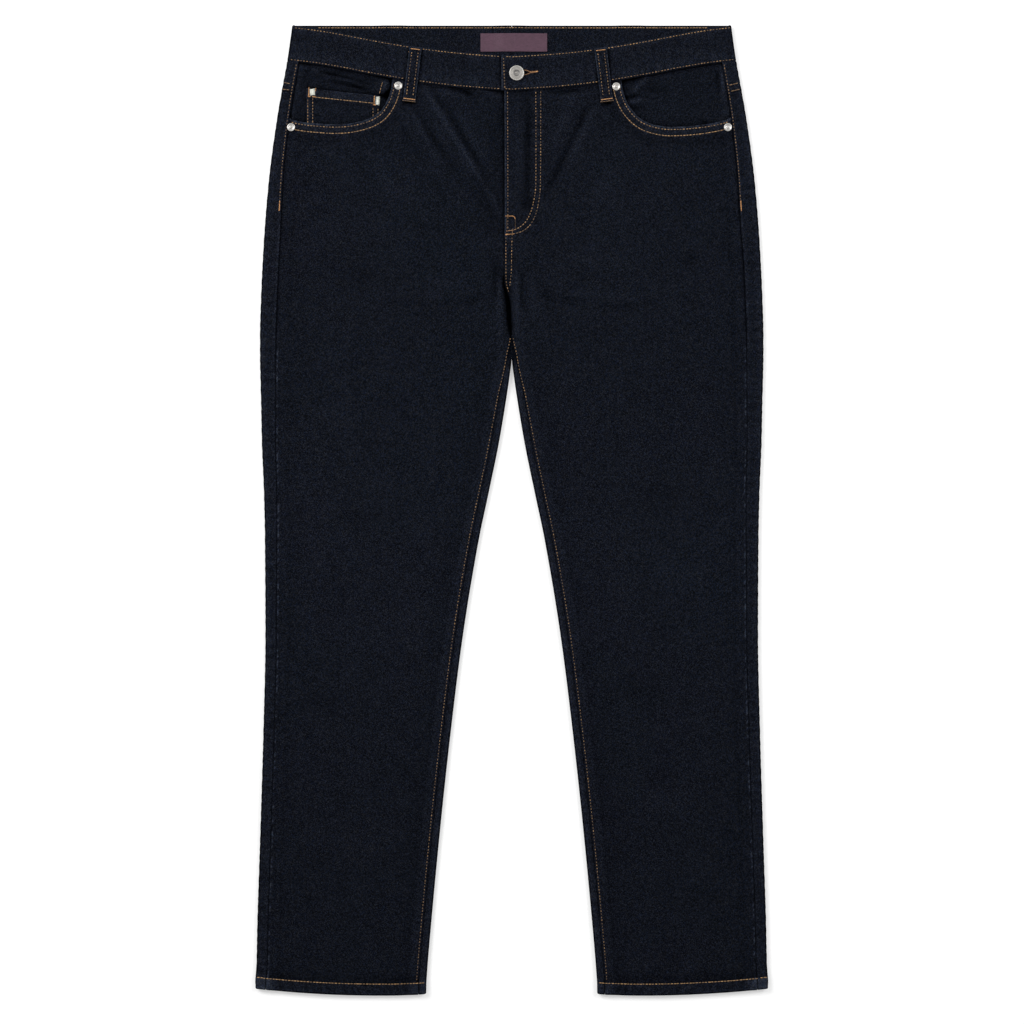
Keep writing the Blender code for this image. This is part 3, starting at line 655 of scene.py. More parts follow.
def mouthRow(side, away):
    line = resampled(mouthLine(side), 0.004)
    row = beside(line, away)
    clear = (row[:, 1] > bandLowDown(row[:, 0]) + 0.0010) & (row[:, 0] < frontOuter(row[:, 1], side) - 0.0010)
    return row[clear]


lengthEnd = length - 0.0004
flyRows = {
    "edge": byDown(lambda down: centreX(down) + stitching["flyRow"], 0.0712, 0.2225),
    "inner": rounded(millimetres((26.2, 70.8), (26.4, 120), (26.3, 172), (23.2, 195), (16.6, 212), (8.6, 219.8),
                                 (1.6, 222.9), (-5.4, 223.8))),
    "outer": rounded(millimetres((31.6, 70.2), (31.6, 120), (31.2, 175), (27.8, 200), (21.0, 216), (11.4, 224.2),
                                 (1.6, 227.0), (-6.6, 227.6))),
}
crotchRows = {
    "lapped": rounded(millimetres((-6.3, 229), (-6.4, 250), (-6.3, 272), (-5.8, 281), (-4.3, 287), (-2.7, 292))),
    "beside": rounded(millimetres((1.4, 220), (0.4, 231), (-0.1, 250), (-0.4, 268), (-1.5, 278), (-2.3, 285))),
}
flyCorner = rounded(millimetres((-6.6, 207.7), (0.4, 207.6), (2.8, 208.5), (3.7, 210.6)), 6)
flyCornerDown = millimetres((3.8, 210.4), (3.9, 220.4))
mouthRows = {side: [mouthRow(side, away) for away in stitching["mouthRows"]] for side in (1, -1)}
inseamRow = byDown(lambda down: inseamX(down) + mix(*stitching["inseamRow"], ease(0.350, 0.460, down)), 0.3385,
                   lengthEnd - 0.0135)
hemRow = byAcross(lambda x: length - stitching["hemRow"], 0.0945, 0.2785)
frontRows = {
    1: [flyRows["edge"], flyRows["inner"], flyRows["outer"], *crotchRows.values(), *mouthRows[1], inseamRow, hemRow],
    -1: [mirror(row) for row in (*mouthRows[-1], inseamRow, hemRow)],
}
mouthLines = {side: resampled(mouthLine(side) * np.array([side, 1.0]), 0.005) for side in (1, -1)}


def rowRelief(x, down, rows, depth=0.00014, pucker=0.00016, width=0.0016, reach=0.0065, pitch=0.0088):
    # each row pulls the cloth down a little, and gathers it beside the thread
    x, down = grids(x, down)
    total = np.zeros(x.shape)
    for number, row in enumerate(rows):
        line = resampled(row, 0.005)
        size = lineSteps(line).sum()
        near = (x > line[:, 0].min() - 2 * reach) & (x < line[:, 0].max() + 2 * reach)
        near &= (down > line[:, 1].min() - 2 * reach) & (down < line[:, 1].max() + 2 * reach)
        if not near.any():
            continue
        away, share = alongLine(x[near], down[near], line)
        run = share * size
        beat = wave(run, pitch, 1.6 * wave(run, 0.037, number) + 160.0 * away)
        strength = 0.6 + 0.4 * wave(run, 0.061, 2.1 * number)
        total[near] += pucker * strength * beat * hump(away, 0.0, reach) - depth * hump(away, 0.0, width)
    return total


seams = {                              # how high the cloth stands, by the distance from an edge
    "outseam": ((0.00060, 0.0015, 0.0038),),
    "outseamHollow": ((-0.00030, 0.0115, 0.0060),),
    "inseam": ((0.00095, 0.0010, 0.0055), (-0.00050, 0.0130, 0.0065)),
    "mouth": (0.00065, 0.0100, 0.0140),
    "mouthHollow": ((-0.00025, 0.0185, 0.0045),),
    "lapEdge": ((0.00045, 0.0, 0.0040),),
    "lapInner": ((0.00040, 0.0290, 0.0042),),
    "belowLap": (0.00060, 0.0020, 0.0060),
    "hem": 0.00035, "hemHollow": ((-0.00030, 0.0065, 0.0055),),
    "roping": ((0.00025, -0.0065, 0.0045),), "ropingPitch": 0.0105, "ropingDrift": 0.043,
}
pocketEnd, mouthEnd = 0.120, 0.145     # the outseam shows from the one down, the mouths reach to the other


def plateau(value, amount, start, end):  # full until the start, none after the end
    return amount * (1.0 - ease(start, end, value))


def roping(size, down, slant):  # the slanting ridges along a hem
    return wave(size + slant * down, seams["ropingPitch"], 2.0 * wave(size, seams["ropingDrift"]))


def seamRelief(x, down, side):  # thick seams and turned edges stand a little higher
    size = x * side
    toOuter = frontOuter(down, side) - size
    toInner = size - frontInner(down, side)
    leg = ease(crotch - 0.040, crotch + 0.020, down)
    total = humps(toOuter, seams["outseam"]) + humps(toOuter, seams["outseamHollow"]) * (down > pocketEnd)
    total += leg * humps(toInner, seams["inseam"])
    away = alongLine(x, down, mouthLines[side])[0]
    total += (plateau(away, *seams["mouth"]) + humps(away, seams["mouthHollow"])) * (down < mouthEnd)
    if side > 0:
        fly = 1.0 - ease(0.205, 0.232, down)
        total += fly * (humps(toInner, seams["lapEdge"]) + humps(size, seams["lapInner"]))
        total += plateau(size, *seams["belowLap"]) * between(down, (0.215, 0.232), (0.288, 0.305))
    hem = hemTop - down
    total += seams["hem"] * ease(0.0015, -0.0010, hem) + humps(hem, seams["hemHollow"])
    return total + roping(size, down, 0.9) * humps(hem, seams["roping"])


def frontTop(x, down, side):
    x, down = grids(x, down)
    high = frontFace(x, down) + seamRelief(x, down, side) + rowRelief(x, down, frontRows[side])
    return high if side > 0 else high - rightDrop(x, down)


# front panels

frontPanels = {"step": 0.0031, "rowStep": 0.0031, "topRows": 36, "topEnd": 0.145, "settle": 0.080,
               "edges": (0.0009, 0.0018, 0.0028, 0.0040, 0.0056, 0.0078)}


def frontPoints(side):
    size = frontPanels
    mouth = mouthLine(side)
    start = float(frontInner(0.070, side))
    band = byAcross(lambda x: bandLowDown(x) + gap, start, mouth[0, 0] - 0.0008, 60)
    top = np.vstack([band, mouth])
    runs = runsAlong(top)
    bandRun = runs[len(band)]
    columns = spaced(0.0, runs[-1], size["step"], size["edges"], size["edges"])
    topLine = np.stack([np.interp(columns, runs, top[:, 0]), np.interp(columns, runs, top[:, 1])], axis=1)
    head = len(size["edges"])
    count = len(columns) - 2 * head

    def rowAt(down):
        low, high = float(frontInner(down, side)), float(frontOuter(down, side))
        even = np.linspace(low + size["edges"][-1], high - size["edges"][-1], count)
        fanned = through([(0.0, low), (bandRun, 0.122), (bandRun + 0.025, 0.149), (bandRun + 0.050, 0.171),
                          (runs[-1], high)], columns[head:-head])
        fanned = np.clip(fanned, even[0], even[-1])
        middle = mix(fanned, even, float(ease(size["topEnd"], size["topEnd"] + size["settle"], down)))
        left = [low, *(low + edge for edge in size["edges"][:-1])]
        right = [*(high - edge for edge in reversed(size["edges"][:-1])), high]
        return np.array([*left, *middle, *right])

    base = np.stack([rowAt(size["topEnd"]), np.full(len(columns), size["topEnd"])], axis=1)
    rows = []
    for share in np.linspace(0.0, 1.0, size["topRows"] + 1):
        row = mix(topLine, base, share)
        leftOff = frontInner(row[0, 1], side) - row[0, 0]
        rightOff = frontOuter(row[-1, 1], side) - row[-1, 0]
        spread = np.linspace(0.0, 1.0, len(columns))
        row[:, 0] += leftOff * (1 - spread) ** 6 + rightOff * spread**6
        rows.append(row)
    hemStart = hemTop - 0.0020
    downs = [*np.arange(size["topEnd"] + size["rowStep"], hemStart - 0.002, size["rowStep"]),
             *np.linspace(hemStart, length, 13)]
    rows += [np.stack([rowAt(down), np.full(len(columns), down)], axis=1) for down in downs]
    return np.array(rows)


def hemWall(down, plain):
    return mix(plain, garment["hemWall"], ease(hemTop - 0.0008, hemTop + 0.0008, down))


def loopShade(x, down, side):  # light hardly reaches below a belt loop's end
    lowX, lowDown = loopLine(side)[1]
    beneath = 0.95 * between(down - lowDown, (-0.0008, 0.0006), (0.0012, 0.0034))
    return beneath * plateau(np.abs(x - lowX), 1.0, 0.0055, 0.0072) + spots(x, down - lowDown, loopShadow(lowX))


def loopShadow(lowX):
    return ((0.30, lowX, 0.0080, 0.0040, 0.0035),)


valley = {                             # painted shade in the deep fold beside the crotch seam, on the lower panel
    "core": ((0.276, 0.290, 0.318, 0.335, 0.350), (0.0018, 0.0029, 0.0024, 0.0017, 0.0012)),    # down and half width
    "sides": ((0.276, 0.300, 0.318, 0.335), (0.0045, 0.0086, 0.0078, 0.0052)),
    "from": (0.255, 0.284), "to": (0.345, 0.362),
}


def valleyShade(away, down):
    deep, soft = (np.interp(down, *valley[name]) for name in ("core", "sides"))
    shade = plateau(away, 0.40, 0.8 * deep, 1.3 * deep) + plateau(away, 0.55, 0.35 * soft, soft)
    return shade * between(down, valley["from"], valley["to"])


def dashes(run, seed, share=0.5):  # broken marks along an edge, from 0 to 1
    swing = wave(run, 0.0046, 1.9 * wave(run, 0.029, seed) + seed)
    return ease(0.9 - 1.6 * share, 1.5 - 1.6 * share, swing + 0.4 * wave(run, 0.083, 2.0 * seed))


frontMarks = {                         # how much paler or darker the cloth is, mostly by the distance from an edge: wear and deep dye on seams, edges and the hem, painted light and shade on ridges, folds and hollows, and painted shadow beside raised pieces
    "crease": 0.54, "pucker": 1.3,
    "inseamLayers": (0.11, 0.0100, 0.0125),
    "inseam": ((0.07, 0.0090, 0.0020), (-0.12, 0.0135, 0.0018), (-0.08, 0.0200, 0.0100), (-0.45, 0.0, 0.0007)),
    "outseamLayers": (0.04, 0.0095, 0.0115),
    "outseam": ((0.05, 0.0085, 0.0018), (-0.10, 0.0130, 0.0022), (-0.07, 0.0080, 0.0120)),
    "knee": ((0.06, 0.57, 0.12),), "shin": 0.045,
    "hipEdge": ((0.30, 0.0008, 0.0012),),
    "outseamDashes": ((2.00, 0.0015, 0.0009),),
    "outseamGroove": ((1.0, 0.0, 0.0006),), "grooveDepth": (0.50, 0.32),       # at the hip and on the leg
    "mouthLayers": (0.26, 0.0100, 0.0135),
    "mouth": ((-0.16, 0.0175, 0.0045),),
    "mouthFold": ((1.0, 0.0010, 0.0016),),
    "belowBand": ((-0.42, 0.0, 0.0018), (-0.24, 0.0, 0.0050)),
    "lapEdge": ((1.6, 0.0007, 0.0012),), "lap": ((0.12, 0.003, 0.0040),),
    "lapRows": ((0.16, 0.0285, 0.0048), (-0.26, 0.0165, 0.0042)),
    "lapEnd": (0.25, 0.0020, 0.0050),
    "besideLap": ((-0.60, 0.0, 0.0030), (-0.14, 0.008, 0.020)),
    "leftFolds": ((0.30, 0.0050, 0.0042, (0.262, 0.290), (0.340, 0.365)),
                  (-0.30, 0.0110, 0.0024, (0.262, 0.272), (0.298, 0.315))),
    "leftHollows": ((-0.38, 0.0048, 0.0034, 0.3430, 0.0065),),
    "rightFolds": ((0.38, -0.0132, 0.0020, (0.274, 0.284), (0.345, 0.365)),
                   (-0.34, -0.0168, 0.0030, (0.250, 0.262), (0.290, 0.304))),
    "rightHollows": ((-0.34, -0.0128, 0.0024, 0.2670, 0.0065),),
    "crotchEdge": ((-0.28, 0.0004, 0.0018),),
    "hem": 0.14, "hemPatches": ((0.26, 0.0050, 0.0045),), "hemDashes": ((0.50, 0.0024, 0.0008),),
    "hemInseam": ((0.62, 0.0, 0.0090),), "hemOutseam": ((1.45, 0.0, 0.0085),),
    "aboveHem": ((0.32, 0.0150, 0.0065),), "hemEdge": ((-0.85, 0.0, 0.0011),),
}


def flyWearAndShade(x, down, side, toInner):
    marks = frontMarks
    # the lap's edge is paler with wear and a painted highlight; painted light and shade of the folds and hollows by the
    # crotch seam; painted shade beside the lap, at the crotch edge and in the deep valley
    upper = 1.0 - ease(0.222, 0.236, down)
    if side > 0:
        edge = (0.6 + 0.4 * dashes(down, 8)) * humps(toInner, marks["lapEdge"]) + humps(toInner, marks["lap"])
        rows = (1.0 - ease(0.190, 0.212, down)) * humps(x, marks["lapRows"])
        end = plateau(x, *marks["lapEnd"]) * between(down, (0.205, 0.222), (0.225, 0.250))
        return upper * edge + rows + end + streaks(x, down, marks["leftFolds"]) + spots(x, down, marks["leftHollows"])
    besideFly = centreX(down) - x
    edge = (1.0 - upper) * (1.0 - ease(0.262, 0.276, down)) * humps(besideFly, marks["crotchEdge"])
    folds = streaks(x, down, marks["rightFolds"]) + spots(x, down, marks["rightHollows"])
    return upper * humps(besideFly, marks["besideLap"]) + edge + folds - valleyShade(besideFly, down)


def hemWearAndShade(size, down, toInner, toOuter):
    marks = frontMarks
    # the hem is paler with wear, with painted shade just above it and at its folded edge
    hem = length - down
    inHem = ease(0.0140, 0.0125, hem)
    patches = roping(size, down, 0.6) * humps(hem, marks["hemPatches"])
    pale = marks["hem"] + patches + humps(toInner, marks["hemInseam"]) + humps(toOuter, marks["hemOutseam"])
    pale += dashes(size, 5, 0.8) * humps(hem, marks["hemDashes"])
    return inHem * pale - (1.0 - inHem) * humps(hem, marks["aboveHem"]) + humps(hem, marks["hemEdge"])


def frontWearAndShade(x, down, side):  # paler where the cloth stands proud and darker in its hollows: partly wear, partly painted light and shade
    marks = frontMarks
    size = x * side
    toOuter = frontOuter(down, side) - size
    toInner = size - frontInner(down, side)
    under = down - bandLowDown(x)
    # painted light on ridges and painted shade in troughs, of the creases and of the puckers beside each row
    wearAndShading = marks["crease"] * creaseHeight(x, down, frontCreases) / mm
    wearAndShading += marks["pucker"] * rowRelief(x, down, frontRows[side], depth=0.0) / mm
    leg = ease(crotch - 0.006, crotch + 0.030, down)
    # the seams' layers are paler, partly wear and partly painted light, with painted shade in the seam lines
    wearAndShading += leg * (plateau(toInner, *marks["inseamLayers"]) + humps(toInner, marks["inseam"]))
    wearAndShading += (down > pocketEnd) * (plateau(toOuter, *marks["outseamLayers"]) + humps(toOuter, marks["outseam"]))
    wearAndShading += humps(down, marks["knee"]) - marks["shin"] * ease(0.72, 0.86, down)
    lower = ease(0.325, 0.365, down)
    # painted shade along the fold at the hip, and a painted dark groove along the outseam
    wearAndShading -= (1.0 - lower) * humps(toOuter, marks["hipEdge"])
    wearAndShading += lower * dashes(down, side) * humps(toOuter, marks["outseamDashes"])
    wearAndShading -= mix(*marks["grooveDepth"], lower) * humps(toOuter, marks["outseamGroove"])
    away, share = alongLine(x, down, mouthLines[side])
    mouth = plateau(away, *marks["mouthLayers"]) + humps(away, marks["mouth"])
    # the mouth's fold edge is paler with wear and a painted highlight
    mouth += (0.5 + 1.3 * dashes(share * 0.16, 3 + side, 0.6)) * humps(away, marks["mouthFold"])
    wearAndShading += mouth * (down < mouthEnd) * ease(0.0, 0.004, under)
    # painted shadow below the waistband and below each belt loop
    wearAndShading += humps(under, marks["belowBand"]) - loopShade(x, down, side)
    wearAndShading += flyWearAndShade(x, down, side, toInner) + hemWearAndShade(size, down, toInner, toOuter)
    return np.clip(wearAndShading, -0.96, 1.8)


def buildFront(side, material):
    flatPoints = frontPoints(side)
    x, down = flatPoints[..., 0] * side, flatPoints[..., 1]
    points = place(x, down, frontTop(x, down, side))
    return cloth("frontCloth", side, points, hemWall(down, clothWall), frontWearAndShade(x, down, side), material,
                 flip=side > 0)


# the backs, which wrap round both folds of a leg, and the yokes and waistbands above them

backPanels = {
    "rowStep": 0.0031, "slantRows": 17, "slantEnd": 0.135, "under": 34, "edges": (0.0009, 0.0018, 0.0029, 0.0043),
    "overlap": 0.00070,                # the left back reaches over the middle as far as the legs part
    # strip, ripples, seam and hem make it paler, partly wear and partly painted light; groove, yokeLine, apex and
    # hemEdge are painted shade
    "strip": 0.06, "ripples": 0.26, "seam": (0.0018, 0.0013), "groove": (0.55, 0.12),      # at the hip and on the leg
    "yokeLine": ((0.50, 0.0750, 0.0024),), "apex": 0.66, "hem": (0.40, 0.80), "hemEdge": ((0.80, 0.0, 0.0011),),
}
wrapColumns, foldColumns, innerFoldColumns, innerWrapColumns = 9, 12, 7, 7


def wrapRelief(x, down, side):  # the strips of the back that show beside the seams
    size = np.abs(x)
    toSeam = size - outseamX(down, side)
    total = 0.00055 * hump(toSeam, 0.0, 0.0080) + 0.00022 * hump(toSeam, 0.0016, 0.0011)
    total *= toSeam > -0.004
    inner = inseamX(down) - size
    total += 0.00030 * hump(inner, 0.0, 0.0050) * (down > crotch) * (inner > -0.004)
    hem = hemTop - down
    total += 0.00030 * ease(0.0015, -0.0010, hem)
    edge = wave(down, 0.0093, 1.8 * wave(down, 0.041, side))
    return total + 0.00008 * edge * hump(toSeam, 0.0, 0.0080)


def wrapRow(side):  # from below the waistband to the bar tack
    row = byDown(lambda down: outseamX(down, side) + stitching["outseamRow"][side], 0.0415, stitching["outseamEnd"])
    return row * np.array([side, 1.0])


def wrapHem(start, end):
    return byAcross(lambda x: length - stitching["hemRow"] - stitching["wrapHemDrop"], start, end, 20)


wrapRows = {
    1: [wrapRow(1), millimetres((236.3, 65.3), (248.3, 62.3)), millimetres((237.8, 72.0), (250.3, 69.0)),
        wrapHem(0.2690, 0.2792)],
    -1: [wrapRow(-1), millimetres((-241.3, 63.6), (-248.6, 62.0)), millimetres((-241.8, 70.3), (-250.3, 69.3)),
         wrapHem(-0.2792, -0.2690)],
}


def wrapTop(x, down, side):
    return frontFace(x, down) + wrapRelief(x, down, side) + rowRelief(x, down, wrapRows[side])


def strip(*columns):  # x, down and height of one stretch of a row
    return np.stack(np.broadcast_arrays(*columns), axis=1)


def foldStrip(start, down, radius, lift, ripple=0.0):  # half a turn round an outer fold
    turns = np.radians(90.0 - np.linspace(0.0, 180.0, foldColumns + 1)[1:])
    high = radius + radius * np.sin(turns) + lift * ramp(-0.2, 1.0, np.sin(turns)) ** 2
    return strip(start + (radius + ripple) * np.cos(turns), down, high)


def ringRow(downs, side):
    # one row round a panel, from the outseam over the fold to the middle or the inseam
    half = float(section("half", downs(0.0)))
    down = float(downs(half))
    half = float(section("half", down))
    high = float(frontHeight(half, down))
    radius = high / 2
    start = half - radius
    seam = float(outseamX(down, side)) + gap / 2
    edges = backPanels["edges"]
    xs = np.concatenate([[seam], seam + np.array(edges[:-1]),
                         np.linspace(seam + edges[-1], start, wrapColumns - len(edges) + 1)])
    zs = wrapTop(xs * side, np.full(len(xs), down), side)
    ripple = 0.00016 * float(wave(down, 0.0116, 1.5 * wave(down, 0.053)))
    strips = [strip(xs, down, zs), foldStrip(start, down, radius, zs[-1] - high, ripple)]
    low = apex
    middle = float(downs(0.0))
    inner = float(section("inner", middle)) - (backPanels["overlap"] if side > 0 and middle < low + 0.001 else 0.0)
    innerRadius = float(section("highIn", middle)) / 2
    across = innerRadius * float(ease(low - 0.001, low + 0.030, middle)) + (0.0002 if middle > low - 0.001 else 0.0)
    under = np.linspace(start, inner + across, backPanels["under"] + 1)[1:]
    underDown = np.array([float(downs(x)) for x in under])
    strips.append(strip(under, underDown, backFace(under, underDown)))
    turns = np.radians(np.linspace(-90.0, 90.0, innerFoldColumns + 2)[1:-1])
    topIn = float(wrapTop(np.array([(inner + across) * side]), np.array([middle]), side)[0])
    strips.append(strip(inner + across * (1 - np.cos(turns)), middle, topIn / 2 + topIn / 2 * np.sin(turns)))
    end = max(float(inseamX(middle)) - gap / 2, inner + 0.00005)
    wrap = np.linspace(inner + across, end, innerWrapColumns)
    strips.append(strip(wrap, middle, wrapTop(wrap * side, np.full(innerWrapColumns, middle), side)))
    return np.concatenate(strips)


def ripples(run, seed):  # uneven lighter and darker patches along a seam
    swing = wave(run, 0.0093, 1.8 * wave(run, 0.041, seed))
    return swing * (0.65 + 0.35 * wave(run, 0.073, 2.3 * seed))


foldMarks = {                          # lost light round a fold, and the light beside it
    "shade": 0.84, "shadeWidth": (0.0022, 0.0012),
    "outer": ((0.20, 0.0024, 0.0014),), "outerBand": (0.24, 0.0045, 0.0085),
    "inner": ((0.42, 0.0024, 0.0014),), "innerBand": (0.26, 0.0045, 0.0075),
    "fade": (0.75, 0.90), "innerFrom": (0.364, 0.384),
}


def foldShade(x, down):
    size = np.abs(x)
    half, inner = section("half", down), section("inner", down)
    wide, narrow = foldMarks["shadeWidth"]
    shade = ease(half - wide, half - narrow, size)
    return foldMarks["shade"] * (shade + ease(inner + wide, inner + narrow, size) * (down > apex))


def foldLight(x, down):
    outer, inner = section("half", down) - np.abs(x), np.abs(x) - section("inner", down)
    light = humps(outer, foldMarks["outer"]) + plateau(outer, *foldMarks["outerBand"])
    inside = humps(inner, foldMarks["inner"]) + plateau(inner, *foldMarks["innerBand"])
    return light * (1.0 - 0.7 * ease(*foldMarks["fade"], down)) + inside * ease(*foldMarks["innerFrom"], down)


def ringPoints(rows, side):  # the points, and their distances from the middle, downs and heights
    across, down, high = np.moveaxis(np.array(rows), -1, 0)
    return place(across * side, down, high), across, down, high


def buildBack(side, material):
    size = backPanels
    rows, middles = [], []
    for share in np.linspace(0.0, 1.0, size["slantRows"]):
        def downs(x, share=share):
            return mix(yokeSeamDown(x) + gap / 2, size["slantEnd"], share)
        rows.append(ringRow(downs, side))
        middles.append(float(downs(0.0)))
    hemStart = hemTop - 0.0020
    straight = [*np.arange(size["slantEnd"] + size["rowStep"], crotch - 0.001, size["rowStep"]), crotch,
                *np.linspace(crotch, apex, 9)[1:],
                *np.arange(apex + size["rowStep"], hemStart - 0.002, size["rowStep"]),
                *np.linspace(hemStart, length, 13)]
    for at in straight:
        rows.append(ringRow(lambda x, at=at: at, side))
        middles.append(at)
    points, across, down, high = ringPoints(rows, side)
    rowCount, columnCount = points.shape[:2]
    keep = np.ones((rowCount - 1, columnCount - 1), bool)
    middles = np.array(middles[:-1])[:, None]
    innerFold = wrapColumns + 1 + foldColumns + size["under"] - 1
    innerWrap = innerFold + innerFoldColumns + 1
    column = np.arange(columnCount - 1)[None, :]
    keep &= ~((column >= innerFold) & (column < innerWrap) & (middles < apex - 1e-6))
    keep &= ~((column >= innerWrap) & (middles < crotch - 1e-6))
    seam = across - outseamX(down, side)
    onTop = high > 0.003
    outside = seam > -0.003
    upper = 1.0 - ease(0.325, 0.365, down)
    # paler on the strip beside the outseam and round the folds: partly wear, partly painted light
    shine = size["strip"] + size["ripples"] * ripples(down, 1 + side) + foldLight(across, down)
    wearAndShading = onTop * (shine + (0.15 + 0.35 * upper) * hump(seam, *size["seam"]))
    # painted shade in the seam's groove, along the yoke seam, round the folds and at the top of the gap between the
    # legs
    wearAndShading -= outside * (mix(*size["groove"], 1.0 - upper) * hump(seam, 0.0, 0.0007) + humps(down, size["yokeLine"]))
    wearAndShading -= foldShade(across, down)
    wearAndShading -= size["apex"] * (1.0 - ease(0.358, 0.374, down)) * (down > crotch) * (seam < -0.1)
    plain, shown = size["hem"]
    hem = length - down
    # the hem is paler with wear, and its folded edge has painted shade
    wearAndShading += (plain + shown * onTop * outside) * ease(0.0140, 0.0125, hem) - humps(hem, size["hemEdge"])
    return cloth("backCloth", side, points, hemWall(down, clothWall), wearAndShading, material, keep=keep, flip=side > 0)


def buildYoke(side, material):
    rows = []
    for share in np.linspace(0.0, 1.0, 24):
        def downs(x, share=share):
            return mix(bandWidth + gap, yokeSeamDown(x) - gap / 2, share)
        ring = ringRow(downs, side)[: wrapColumns + 1 + foldColumns + backPanels["under"]]
        ring[-1, 0] = gap / 2
        rows.append(ring)
    points, across, down, high = ringPoints(rows, side)
    seam = across - outseamX(down, side)
    # paler beside the seam and round the fold, partly wear and partly painted light; painted shade round the fold and
    # along the yoke seam
    wearAndShading = (0.06 + 0.30 * hump(seam, 0.0022, 0.0018) + foldLight(across, down)) * (high > 0.003)
    wearAndShading -= foldShade(across, down) + 0.45 * hump(down, garment["yokeSide"], 0.0016)
    return cloth("yokeCloth", side, points, clothWall, wearAndShading, material, flip=side > 0)


# waistband

bandRows = {
    "top": byAcross(lambda x: bandTopDown(x) + stitching["bandRow"], -0.2380, 0.2400, 200),
    "bottom": byAcross(lambda x: bandLowDown(x) - stitching["bandRow"], -0.2430, 0.2440, 200),
    "end": np.array([[-0.0091, 0.0352], [-0.0074, 0.0692]]),
    "insideTop": byAcross(lambda x: stitching["bandRow"] + 0.0003, -0.2120, 0.2150, 160),
}


def bandTop(x, down, side):
    x, down = grids(x, down)
    rows = [bandRows["top"], bandRows["bottom"]] + ([bandRows["end"]] if side > 0 else [])
    high = bandFace(x, down) + rowRelief(x, down, rows, depth=0.00022, pucker=0.00010)
    if side > 0:
        thickEnd = 0.00035 * (1.0 - ease(0.006, 0.012, x - lapEdge))
        return high + thickEnd
    return high - rightBandDrop(-x)


def insideFace(x, down):  # inner face of the back waistband, which shows above the front
    base = raisedOverTrim(x, down) + garment["bandWall"]
    return base + 0.00018 * waviness(x, down, 0.050, 31) + 0.00008 * waviness(x, down, 0.017, 32)


def insideTop(x, down):
    x, down = grids(x, down)
    relief = rowRelief(x, down, [bandRows["insideTop"]], depth=0.00016, pucker=0.00008)
    seam = 0.00035 * hump(x, 0.0020, 0.0035) - 0.00045 * hump(x, 0.0022, 0.0008)
    return insideFace(x, down) + relief + seam * (np.abs(x) < 0.02)


bandShades = {                          # painted shade: the low edge by its share of the width, the others in metres
    "low": ((-0.35, 1.0, 0.022),), "loop": ((-0.80, 0.0074, 0.0014),),
    "buttonhole": ((-0.40, 0.0225, 0.0060, 0.0462, 0.0022),),
    "underlap": ((-0.85, 0.0, 0.0014), (-0.20, 0.0, 0.0050)),
    "insideTop": ((-0.70, 0.0, 0.0010),), "insideLow": ((-0.42, 0.0, 0.0040),),
}


def buildWaistband(side, material):
    end = lapEdge if side > 0 else -garment["underlapEdge"]
    edges = (0.0014, 0.0024, 0.0036, 0.0052)
    across = spaced(0.0, bandWidth, 0.0030, edges, edges)
    rows = []
    for down in across:
        half = float(section("half", down))
        high = float(frontHeight(half, down)) + garment["bandProud"]
        radius = high / 2
        start = half - radius
        frontXs = spaced(end, start, (start - end - edges[-1]) / 72, edges)
        ds = bandTopDown(frontXs) + down
        zs = bandTop(frontXs * side, ds, side)
        backXs = np.linspace(start, gap / 2, 62)[1:]
        rows.append(np.concatenate([strip(frontXs, ds, zs), foldStrip(start, down, radius, zs[-1] - high),
                                    strip(backXs, down, raisedOverTrim(backXs, down))]))
        rows[-1][:, 1] -= 0.0006 * (1.0 - ease(0.0, 0.012, rows[-1][:, 1]))  # the turned top edge
    points, size, down, high = ringPoints(rows, side)
    wall = np.full(size.shape, garment["bandWall"])
    onBack = (high < 0.0025) & (size < float(section("half", 0.02)) - 0.004)
    inner = insideTop(size * side, down) - raisedOverTrim(size, down)
    wall = np.where(onBack, inner, wall)
    top = down - bandTopDown(size)
    share = top / bandWidth
    beads, fine = ripples(size, 2 + side), ripples(2.1 * size, 5 + side)
    # paler near both edges and across the crown, partly wear and partly painted light, and a little darker between them
    wearAndShading = (0.26 + 0.30 * fine) * hump(share, 0.05, 0.05) - 0.12 * hump(share, 0.34, 0.20)
    wearAndShading += (0.20 + 0.36 * beads) * hump(share, 0.86, 0.12) + 0.14 * beads * hump(share, 0.45, 0.30)
    # painted shadow beside each belt loop, painted shade round the fold and towards the low edge
    besideLoop = np.abs(size - loops["topX"] - side * centreShift - 0.0050 * share)
    wearAndShading += 0.13 + humps(besideLoop, bandShades["loop"]) * (share > 0.08) - foldShade(size, down)
    wearAndShading += humps(share, bandShades["low"])
    if side > 0:
        # the lapped end's edge is paler with wear and a painted highlight; painted shade beside the buttonhole
        wearAndShading += (1.1 + 0.7 * dashes(down, 4)) * hump(size, end + 0.0005, 0.0011)
        wearAndShading += spots(size, down, bandShades["buttonhole"])
    else:
        # painted shade under the lapped end
        wearAndShading += humps(size + lapEdge, bandShades["underlap"])
    # inside: painted shade at its top and low edges, and painted shadow under the woven label
    above = bandTopDown(size) - down
    inside = 0.16 + humps(down, bandShades["insideTop"]) + humps(above, bandShades["insideLow"])
    inside -= 0.35 * (size < label["right"] + 0.002) * hump(down, label["bottom"] + 0.0010, 0.0012)
    wearAndShading = np.where(onBack, inside, wearAndShading)
    return cloth("waistbandCloth", side, points, wall, wearAndShading, material, flip=side > 0, rounded=6)


# pocket facings, coin pocket and back pockets

